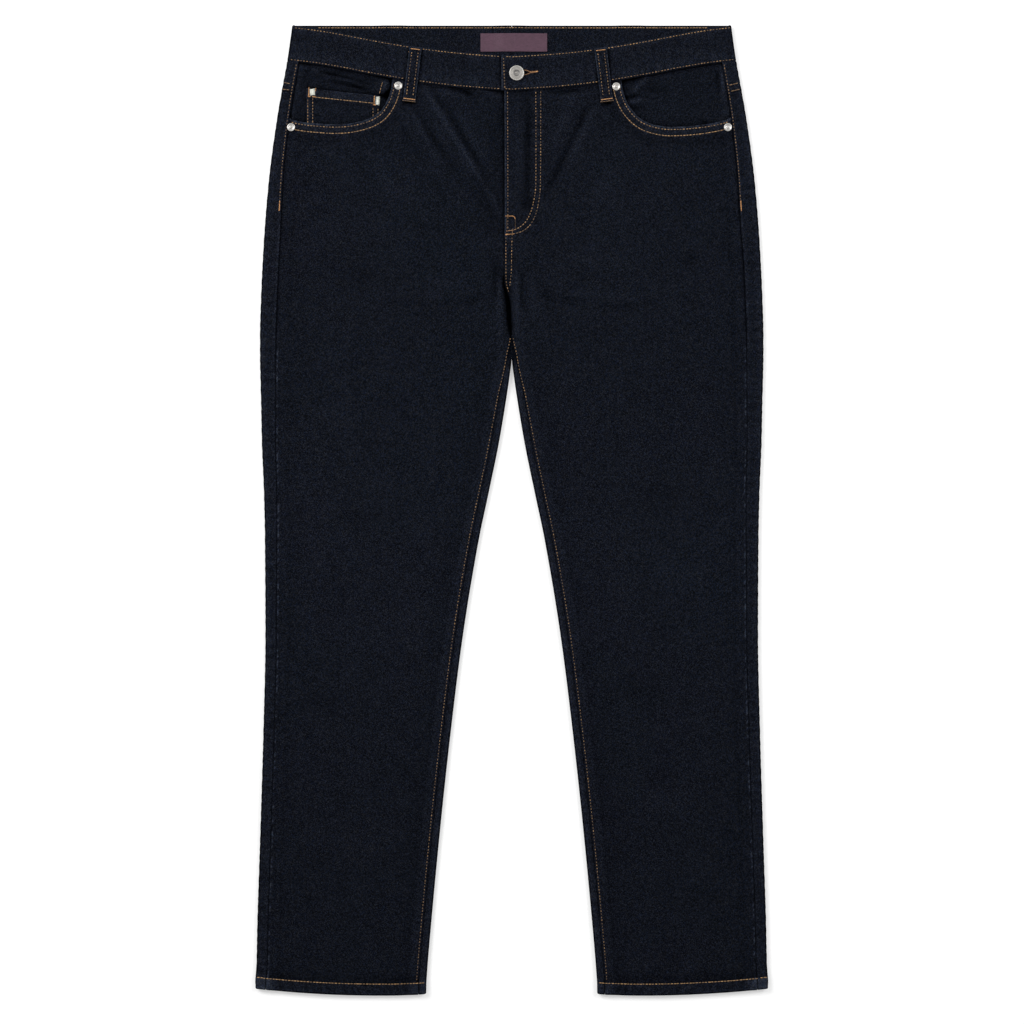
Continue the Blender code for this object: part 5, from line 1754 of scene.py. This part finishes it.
def finishMetal(thing, material, *nodes):
    thing.data.materials.clear()
    thing.data.materials.append(material)
    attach(thing, "root")
    if nodes:
        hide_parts(*nodes)
    return thing


def buildButton(material):
    x, down = buttonPlace
    size = metalSizes["button"]
    seat = float(bandTop(x, down, 1)) + gap
    thing = drawnDisc("shankButton", x, down, seat, size["rings"], size["vertices"],
                      foot=(size["shank"], bandLayer), lean=size["lean"])
    return finishMetal(thing, material, "button")


def buildRivets(material):
    size = metalSizes["rivet"]
    for number, (x, down) in enumerate(rivetPlaces, start=1):
        side = 1 if x > 0 else -1
        seat = float(frontTop(x, down, side)) + 0.0001
        thing = drawnDisc("rivetCap_" + str(number), x, down, seat, size["rings"], size["vertices"])
        finishMetal(thing, material, "rivet_" + str(number))


# the zip under the fly: a tape and two rows of teeth, closed

zipSizes = {"left": 0.0022, "right": 0.0267, "top": 0.0733, "bottom": 0.2147, "wall": 0.0006, "low": 0.0004,
            "toothWidth": 0.0030, "toothLength": 0.0011, "toothHeight": 0.0012, "pitch": 0.0030, "from": 0.0955}


def zipTop(x, down):
    underSlider = 0.0023 * (1.0 - ramp(0.096, 0.125, np.asarray(down, float)))
    return frontFace(x, down) - layer - underSlider - zipSizes["low"]


def buildZip(tapeMaterial, metalMaterial):
    size = zipSizes
    xs = spaced(size["left"], size["right"], 0.0014, (0.0006,), (0.0006,))
    downs = spaced(size["top"], size["bottom"], 0.0024, (0.0008,), (0.0008,))
    gridX, gridDown = np.meshgrid(xs, downs)
    middle = (size["left"] + size["right"]) / 2
    ridge = 0.00018 * hump(np.abs(gridX - middle), 0.0036, 0.0005)
    points = place(gridX, gridDown, zipTop(gridX, gridDown) - 0.0001 + ridge)
    cloth("zipTape", 0, points, size["wall"], None, tapeMaterial, "zip_tape", rounded=2, flip=True)
    bpy.ops.object.select_all(action="DESELECT")
    bpy.ops.mesh.primitive_cube_add(size=1.0, location=(0.0, 0.0, 0.0),
                                    scale=(size["toothWidth"], size["toothLength"], size["toothHeight"]))
    tooth = bpy.context.object
    tooth.name = "zipTooth"
    bpy.ops.object.transform_apply(location=True, rotation=True, scale=True)
    bpy.ops.object.mode_set(mode="EDIT")
    bpy.ops.mesh.select_all(action="SELECT")
    bpy.ops.mesh.bevel(offset=0.00022, segments=1)
    bpy.ops.object.mode_set(mode="OBJECT")
    copies = []
    for number, down in enumerate(np.arange(size["from"], size["bottom"] - 0.0030, size["pitch"] / 2)):
        aside = 0.0007 if number % 2 else -0.0007
        copy = bpy.data.objects.new("zipTooth_" + str(number), tooth.data.copy())
        x = middle + aside
        copy.location = (x, length / 2 - down, float(zipTop(x, down)) - size["wall"] / 2)
        bpy.context.scene.collection.objects.link(copy)
        copies.append(copy)
    bpy.data.objects.remove(tooth)
    bpy.ops.object.select_all(action="DESELECT")
    for copy in copies:
        copy.select_set(True)
    bpy.context.view_layer.objects.active = copies[0]
    bpy.ops.object.join()
    teeth = bpy.context.object
    teeth.name = teeth.data.name = "zipTeeth"
    bpy.ops.object.transform_apply(location=True, rotation=True, scale=True)
    finishMetal(teeth, metalMaterial, "fly_zip")


# finishes

def newFinish(name):
    material = bpy.data.materials.new(name)
    material.use_nodes = True
    tree = material.node_tree
    tree.nodes.clear()
    shader = tree.nodes.new("ShaderNodeBsdfPrincipled")
    output = tree.nodes.new("ShaderNodeOutputMaterial")
    tree.links.new(shader.outputs["BSDF"], output.inputs["Surface"])
    return material, tree, shader


def feed(tree, node, inputs):  # links what is computed, and sets what is plain
    for key, value in inputs.items():
        if isinstance(value, bpy.types.NodeSocket):
            tree.links.new(value, node.inputs[key])
        else:
            node.inputs[key].default_value = value


def add(tree, kind, inputs, **settings):
    made = tree.nodes.new("ShaderNode" + kind)
    for name, value in settings.items():
        setattr(made, name, value)
    feed(tree, made, inputs)
    return made


def placed(tree, scale=(1.0, 1.0, 1.0), turn=0.0, location=(0.0, 0.0, 0.0)):
    where = tree.nodes.new("ShaderNodeTexCoord").outputs["Object"]
    return add(tree, "Mapping", {"Vector": where, "Rotation": (0.0, 0.0, turn), "Scale": scale,
                                 "Location": location}).outputs["Vector"]


def noise(tree, where, scale, detail=2.0, rough=0.5, distortion=0.0, output="Fac"):
    return add(tree, "TexNoise", {"Vector": where, "Scale": scale, "Detail": detail, "Roughness": rough,
                                  "Distortion": distortion}).outputs[output]


def weave(tree, where, pitch, distortion, detail=2.0, detailScale=1.0, kind="BANDS", direction="X"):
    settings = {"wave_type": kind, kind.lower() + "_direction": direction, "wave_profile": "SIN"}
    return add(tree, "TexWave", {"Vector": where, "Scale": 0.31416 / pitch, "Distortion": distortion, "Detail": detail,
                                 "Detail Scale": detailScale}, **settings).outputs["Fac"]


def stored(tree, name):  # a number kept at the cloth's or the thread's points
    return add(tree, "Attribute", {}, attribute_name=name).outputs["Fac"]


def spread(tree, value, low, high, start=0.0, end=1.0):
    made = add(tree, "MapRange", {"Value": value, "From Min": low, "From Max": high, "To Min": start, "To Max": end})
    return made.outputs["Result"]


def stretched(tree, value, start=0.0, end=1.0):  # most of a noise lies between these two
    return spread(tree, value, 0.3, 0.7, start, end)


def combined(tree, a, b, operation="ADD"):
    return add(tree, "Math", {0: a, 1: b}, operation=operation).outputs[0]


def times(tree, a, b):
    return combined(tree, a, b, "MULTIPLY")


def blended(tree, share, a, b, blend="MIX"):
    return add(tree, "Mix", {0: share, 6: a, 7: b}, data_type="RGBA", blend_type=blend).outputs[2]


def bumped(tree, height, distance, strength):
    return add(tree, "Bump", {"Height": height, "Distance": distance, "Strength": strength}).outputs["Normal"]


denim = {
    "dark": (0.0002, 0.0003, 0.0006, 1.0), "light": (0.0146, 0.0180, 0.0289, 1.0),
    "worn": (0.031, 0.040, 0.057, 1.0), "wornFrom": (0.8, 2.0, 0.0, 0.8), "wornPatches": (0.34, 0.66),
    "lowest": 0.05, "highest": 2.6,    # of the wear and the painted light and shade
    "floats": 0.80, "floatSize": 1650.0, "floatContrast": 2.6,
    "slub": 0.11, "slubSize": 1500.0,
    "twillPitch": 0.00095, "twillTurn": 62, "uneven": (-0.035, 0.035), "cloudSize": 46.0,
    "flecks": (0.62, 0.80, 0.0, 0.35), "fleckSize": 1100.0,
    "dyeSize": 620.0, "hue": (0.486, 0.514), "saturation": (0.62, 1.38),
    "roughness": (0.94, 0.80), "gloss": 0.02, "sheen": 0.02, "sheenTint": (0.55, 0.68, 1.0, 1.0), "relief": 0.00016,
}


def denimFinish(name, grain=0.0):  # grain turns the warp, which runs down the legs and along the waistband
    material, tree, shader = newFinish(name)
    plain = placed(tree, turn=grain)
    drawn = placed(tree, (1.0, 0.7, 1.0), grain)  # a little longer along the warp
    cell = add(tree, "TexVoronoi", {"Vector": placed(tree, (1.0, 0.9, 1.0), grain), "Scale": denim["floatSize"],
                                    "Randomness": 1.0}, feature="F1").outputs["Color"]
    floats = combined(tree, add(tree, "SeparateColor", {0: cell}).outputs[0], denim["floatContrast"], "POWER")
    slub = noise(tree, drawn, denim["slubSize"], 1.0, 0.7)
    twill = weave(tree, placed(tree, turn=grain + math.radians(denim["twillTurn"])), denim["twillPitch"], 2.2, 2.0, 1.3)
    cloudy = noise(tree, plain, denim["cloudSize"], 4.0, 0.6)
    fleck = noise(tree, placed(tree, (1.0, 0.55, 1.0), grain + 0.5, (0.3, 0.1, 0.0)), denim["fleckSize"], 1.0, 0.5, 1.2)
    shade = combined(tree, times(tree, floats, denim["floats"]), stretched(tree, slub, 0.0, denim["slub"]))
    for part in (spread(tree, twill, 0.0, 1.0, *denim["uneven"]), stretched(tree, cloudy, *denim["uneven"]),
                 spread(tree, fleck, *denim["flecks"])):
        shade = combined(tree, shade, part)
    wearAndShading = stored(tree, "wearAndShading")  # negative where painted shade darkens the cloth and where the dye stays deep
    level = add(tree, "Clamp", {"Value": combined(tree, wearAndShading, 1.0), "Min": denim["lowest"],
                                "Max": denim["highest"]}).outputs[0]
    # the wear and the painted light and shade scale the colour: paler on worn parts and under painted light, darker in
    # painted shade
    colour = blended(tree, 1.0, blended(tree, shade, denim["dark"], denim["light"]), level, "MULTIPLY")
    patchy = spread(tree, noise(tree, drawn, denim["dyeSize"], 2.0, 0.6), *denim["wornPatches"])
    # where wear and painted highlights run high, the pale worn colour comes in
    colour = blended(tree, times(tree, spread(tree, wearAndShading, *denim["wornFrom"]), patchy), colour, denim["worn"])
    dye = add(tree, "SeparateColor", {0: noise(tree, plain, denim["dyeSize"], 1.0, 0.5, output="Color")}).outputs
    colour = add(tree, "HueSaturation", {"Hue": stretched(tree, dye[0], *denim["hue"]), "Color": colour,
                                         "Saturation": stretched(tree, dye[1], *denim["saturation"])}).outputs[0]
    relief = combined(tree, times(tree, twill, 0.5), combined(tree, slub, times(tree, floats, 0.35)))
    feed(tree, shader, {
        "Base Color": colour, "Roughness": stretched(tree, slub, *denim["roughness"]),
        "Specular IOR Level": times(tree, level, denim["gloss"]),  # painted shade also takes away the gloss and the sheen, so deep folds stay black
        "Sheen Weight": times(tree, level, denim["sheen"]), "Sheen Roughness": 0.5, "Sheen Tint": denim["sheenTint"],
        "Normal": bumped(tree, relief, denim["relief"], 0.8)})
    return material


threads = {                            # each from its deepest to its palest tone
    "tan": ((0.080, 0.048, 0.026, 1.0), (0.450, 0.262, 0.112, 1.0)),
    "orange": ((0.150, 0.070, 0.030, 1.0), (0.620, 0.315, 0.125, 1.0)),
    "pale": ((0.420, 0.425, 0.370, 1.0), (0.680, 0.690, 0.620, 1.0)),
    "holes": 0.40,                     # painted shade at the ends, where they sink into their needle holes
    "twist": 26.0, "roughness": (0.72, 0.55), "gloss": 0.3, "sheen": 0.05,
}


def threadFinish(name):
    material, tree, shader = newFinish(name + "Thread")
    run = stored(tree, "run")
    fibre = noise(tree, placed(tree), 2600.0, 2.0, 0.6)
    share = combined(tree, stored(tree, "tone"), stretched(tree, fibre, -0.12, 0.12))
    toEnd = combined(tree, combined(tree, run, 0.5, "SUBTRACT"), 0.0, "ABSOLUTE")
    # painted shade towards each strand's two ends
    level = spread(tree, toEnd, 0.24, 0.50, 1.0, threads["holes"])
    twist = add(tree, "Math", {0: times(tree, run, threads["twist"])}, operation="SINE").outputs[0]
    feed(tree, shader, {
        "Base Color": blended(tree, 1.0, blended(tree, share, *threads[name]), level, "MULTIPLY"),
        "Roughness": stretched(tree, fibre, *threads["roughness"]), "Specular IOR Level": threads["gloss"],
        "Sheen Weight": threads["sheen"], "Normal": bumped(tree, combined(tree, twist, fibre), 0.00006, 0.8)})
    return material


satin = {"colours": ((0.041, 0.019, 0.030, 1.0), (0.078, 0.037, 0.058, 1.0)), "pitch": 0.00062,
         "roughness": (0.52, 0.66), "gloss": 0.25, "sheen": 0.04}


def labelFinish():  # a close plain satin
    material, tree, shader = newFinish("plumSatin")
    weft = weave(tree, placed(tree), satin["pitch"], 1.2, 1.0, direction="Y")
    uneven = noise(tree, placed(tree, (0.3, 1.0, 1.0)), 700.0, 2.0, 0.6)
    cloudy = noise(tree, placed(tree), 120.0, 2.0, 0.5)
    share = combined(tree, times(tree, weft, 0.35), stretched(tree, uneven, 0.0, 0.5))
    share = combined(tree, share, stretched(tree, cloudy, -0.1, 0.2))
    feed(tree, shader, {
        "Base Color": blended(tree, share, *satin["colours"]),
        "Roughness": stretched(tree, uneven, *satin["roughness"]),
        "Specular IOR Level": satin["gloss"], "Sheen Weight": satin["sheen"],
        "Normal": bumped(tree, combined(tree, weft, uneven), 0.00008, 0.7)})
    return material


nickel = {
    "plain": {"colours": ((0.28, 0.270, 0.256, 1.0), (0.43, 0.418, 0.400, 1.0)), "roughness": (0.48, 0.36)},
    "turned": {"colours": ((0.175, 0.167, 0.156, 1.0), (0.275, 0.263, 0.246, 1.0)), "roughness": (0.66, 0.58),
               # rim: a painted highlight; groove: a ring round the knob painted near black
               "pitch": 0.00055, "rim": (0.43, 0.415, 0.39, 1.0), "rimFrom": (0.0066, 0.0076, 0.0, 0.85),
               "groove": (0.016, 0.018, 0.026, 1.0), "grooveAt": 0.0027, "grooveWidth": (0.0004, 0.0012, 0.55, 0.0)},
}


def metalFinish(name, middle=None):  # a turned finish has its button's middle, as (x, down)
    material, tree, shader = newFinish(name)
    look = nickel["turned" if middle else "plain"]
    stain = noise(tree, placed(tree), 480.0, 3.0, 0.6)
    if middle:  # fine marks run round it
        about = placed(tree, scale=(1.0, 1.0, 0.0), location=(-middle[0], middle[1] - length / 2, 0.0))
        marks = weave(tree, about, look["pitch"], 0.6, 1.0, kind="RINGS", direction="Z")
    else:
        marks = noise(tree, placed(tree, (1.0, 0.2, 1.0)), 1500.0, 2.0, 0.6)
    share = combined(tree, stretched(tree, stain, 0.0, 0.7), times(tree, marks, 0.3))
    colour = blended(tree, share, *look["colours"])
    if middle:  # painted highlight: the rim is painted paler, and a ring round the knob is painted near black
        out = add(tree, "VectorMath", {0: about}, operation="LENGTH").outputs["Value"]
        colour = blended(tree, spread(tree, out, *look["rimFrom"]), colour, look["rim"])
        off = combined(tree, combined(tree, out, look["grooveAt"], "SUBTRACT"), 0.0, "ABSOLUTE")
        colour = blended(tree, spread(tree, off, *look["grooveWidth"]), colour, look["groove"])
    feed(tree, shader, {"Base Color": colour, "Metallic": 1.0, "Roughness": stretched(tree, stain, *look["roughness"]),
                        "Normal": bumped(tree, combined(tree, marks, times(tree, stain, 0.6)), 0.00004, 0.5)})
    return material


tape = {"colours": ((0.006, 0.007, 0.011, 1.0), (0.016, 0.018, 0.026, 1.0)), "pitch": 0.0009, "turn": 40,
        "roughness": (0.8, 0.68), "gloss": 0.2}


def tapeFinish():
    material, tree, shader = newFinish("zipTapeTwill")
    rib = weave(tree, placed(tree, turn=math.radians(tape["turn"])), tape["pitch"], 0.8)
    fibre = noise(tree, placed(tree), 1500.0, 2.0, 0.6)
    share = combined(tree, times(tree, rib, 0.6), stretched(tree, fibre, 0.0, 0.4))
    feed(tree, shader, {
        "Base Color": blended(tree, share, *tape["colours"]), "Roughness": stretched(tree, fibre, *tape["roughness"]),
        "Specular IOR Level": tape["gloss"], "Normal": bumped(tree, combined(tree, rib, fibre), 0.00010, 0.7)})
    return material


# floor, light and camera

studio = {
    "floorSize": 9.0, "floorHigh": -0.0008, "floorColour": (0.62, 0.62, 0.62, 1.0), "floorGlow": 0.42,
    "farFloor": (1.0, 2.2), "white": (1.0, 1.0, 1.0, 1.0), "skyFill": 0.36,
    "lamps": (((-2.0, 1.35, 2.0), 1.7, 96.0), ((2.2, 1.1, 2.1), 1.7, 60.0)),   # place, size and power
    "cameraAt": (0.0003, -0.0015, 3.105), "lens": 100.0,
}


def seenDirectly(tree):  # 1 where the camera, a reflection or a look through glass sees it
    path = tree.nodes.new("ShaderNodeLightPath")
    seen = combined(tree, path.outputs["Is Camera Ray"], path.outputs["Is Glossy Ray"], "MAXIMUM")
    return combined(tree, seen, path.outputs["Is Transmission Ray"], "MAXIMUM")


def buildStudio():
    bpy.ops.object.select_all(action="DESELECT")
    bpy.ops.mesh.primitive_plane_add(size=studio["floorSize"], location=(0.0, 0.0, studio["floorHigh"]))
    floor = bpy.context.object
    floor.name = "studioFloor"
    material, tree, shader = newFinish("paleFloor")
    mottle = noise(tree, placed(tree), 3.0)
    low = tuple(value * 0.995 for value in studio["floorColour"][:3]) + (1.0,)
    out = add(tree, "VectorMath", {0: placed(tree)}, operation="LENGTH").outputs["Value"]
    evenly = spread(tree, out, *studio["farFloor"], studio["floorGlow"], 1.0)  # it keeps its white past the lamps
    feed(tree, shader, {
        "Base Color": blended(tree, mottle, low, studio["floorColour"]), "Roughness": 0.9, "Specular IOR Level": 0.0,
        "Emission Color": studio["white"], "Emission Strength": times(tree, seenDirectly(tree), evenly)})
    floor.data.materials.append(material)

    world = bpy.data.worlds.new("studioSky")
    bpy.context.scene.world = world
    world.use_nodes = True
    tree = world.node_tree
    tree.nodes.clear()
    strength = spread(tree, seenDirectly(tree), 0.0, 1.0, studio["skyFill"], 1.0)
    sky = add(tree, "Background", {"Color": studio["white"], "Strength": strength})
    output = tree.nodes.new("ShaderNodeOutputWorld")
    tree.links.new(sky.outputs["Background"], output.inputs["Surface"])

    for number, (at, size, power) in enumerate(studio["lamps"], start=1):
        lamp = bpy.data.lights.new("softbox" + str(number), "AREA")
        lamp.shape = "SQUARE"
        lamp.size = size
        lamp.energy = power
        thing = bpy.data.objects.new(lamp.name, lamp)
        thing.location = at
        thing.rotation_euler = Vector((-at[0], -at[1], -at[2])).to_track_quat("-Z", "Y").to_euler()
        bpy.context.scene.collection.objects.link(thing)

    camera = bpy.data.cameras.new("camera")
    camera.lens = studio["lens"]
    camera.sensor_width = 36.0
    camera.clip_start, camera.clip_end = 0.1, 50.0
    thing = bpy.data.objects.new("camera", camera)
    thing.location = studio["cameraAt"]
    bpy.context.scene.collection.objects.link(thing)
    bpy.context.scene.camera = thing
    bpy.context.scene.view_settings.view_transform = "Standard"


# the garment

buildStudio()
print("studio ready")
legDenim = denimFinish("rinsedDenim")
bandDenim = denimFinish("rinsedDenimAlongTheBand", math.radians(90))
tanThread, orangeThread, paleThread = (threadFinish(name) for name in ("tan", "orange", "pale"))
metal = metalFinish("dullNickel")
for side in (1, -1):
    buildFront(side, legDenim)
    buildBack(side, legDenim)
    buildYoke(side, legDenim)
print("legs ready")
bands = {side: buildWaistband(side, bandDenim) for side in (1, -1)}
cutButtonhole(bands[1])
print("waistband ready")
for side in (1, -1):
    buildFacing(side, legDenim)
    buildBackPocket(side, legDenim)
    buildFrontLoop(side, legDenim)
buildCoinPocket(legDenim)
for piece, side in (("loopCloth_side", 1), ("loopCloth_side", -1), ("loopCloth_back", 0)):
    buildRearLoop(piece, side, legDenim)
buildLabel(labelFinish())
print("pockets, loops and label ready")
sewFronts(tanThread)
sewWaistband(tanThread)
sewTrims(tanThread)
sewBack(tanThread)
sewTacks(tanThread, orangeThread)
sewButtonhole(orangeThread)
sewCorners(orangeThread, paleThread)
print("stitching ready")
buildButton(metalFinish("turnedNickel", buttonPlace))
buildRivets(metal)
buildZip(tapeFinish(), metal)
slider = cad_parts["zip_slider"]
slider.data.materials.clear()
slider.data.materials.append(metal)
print("button, rivets and zip ready")
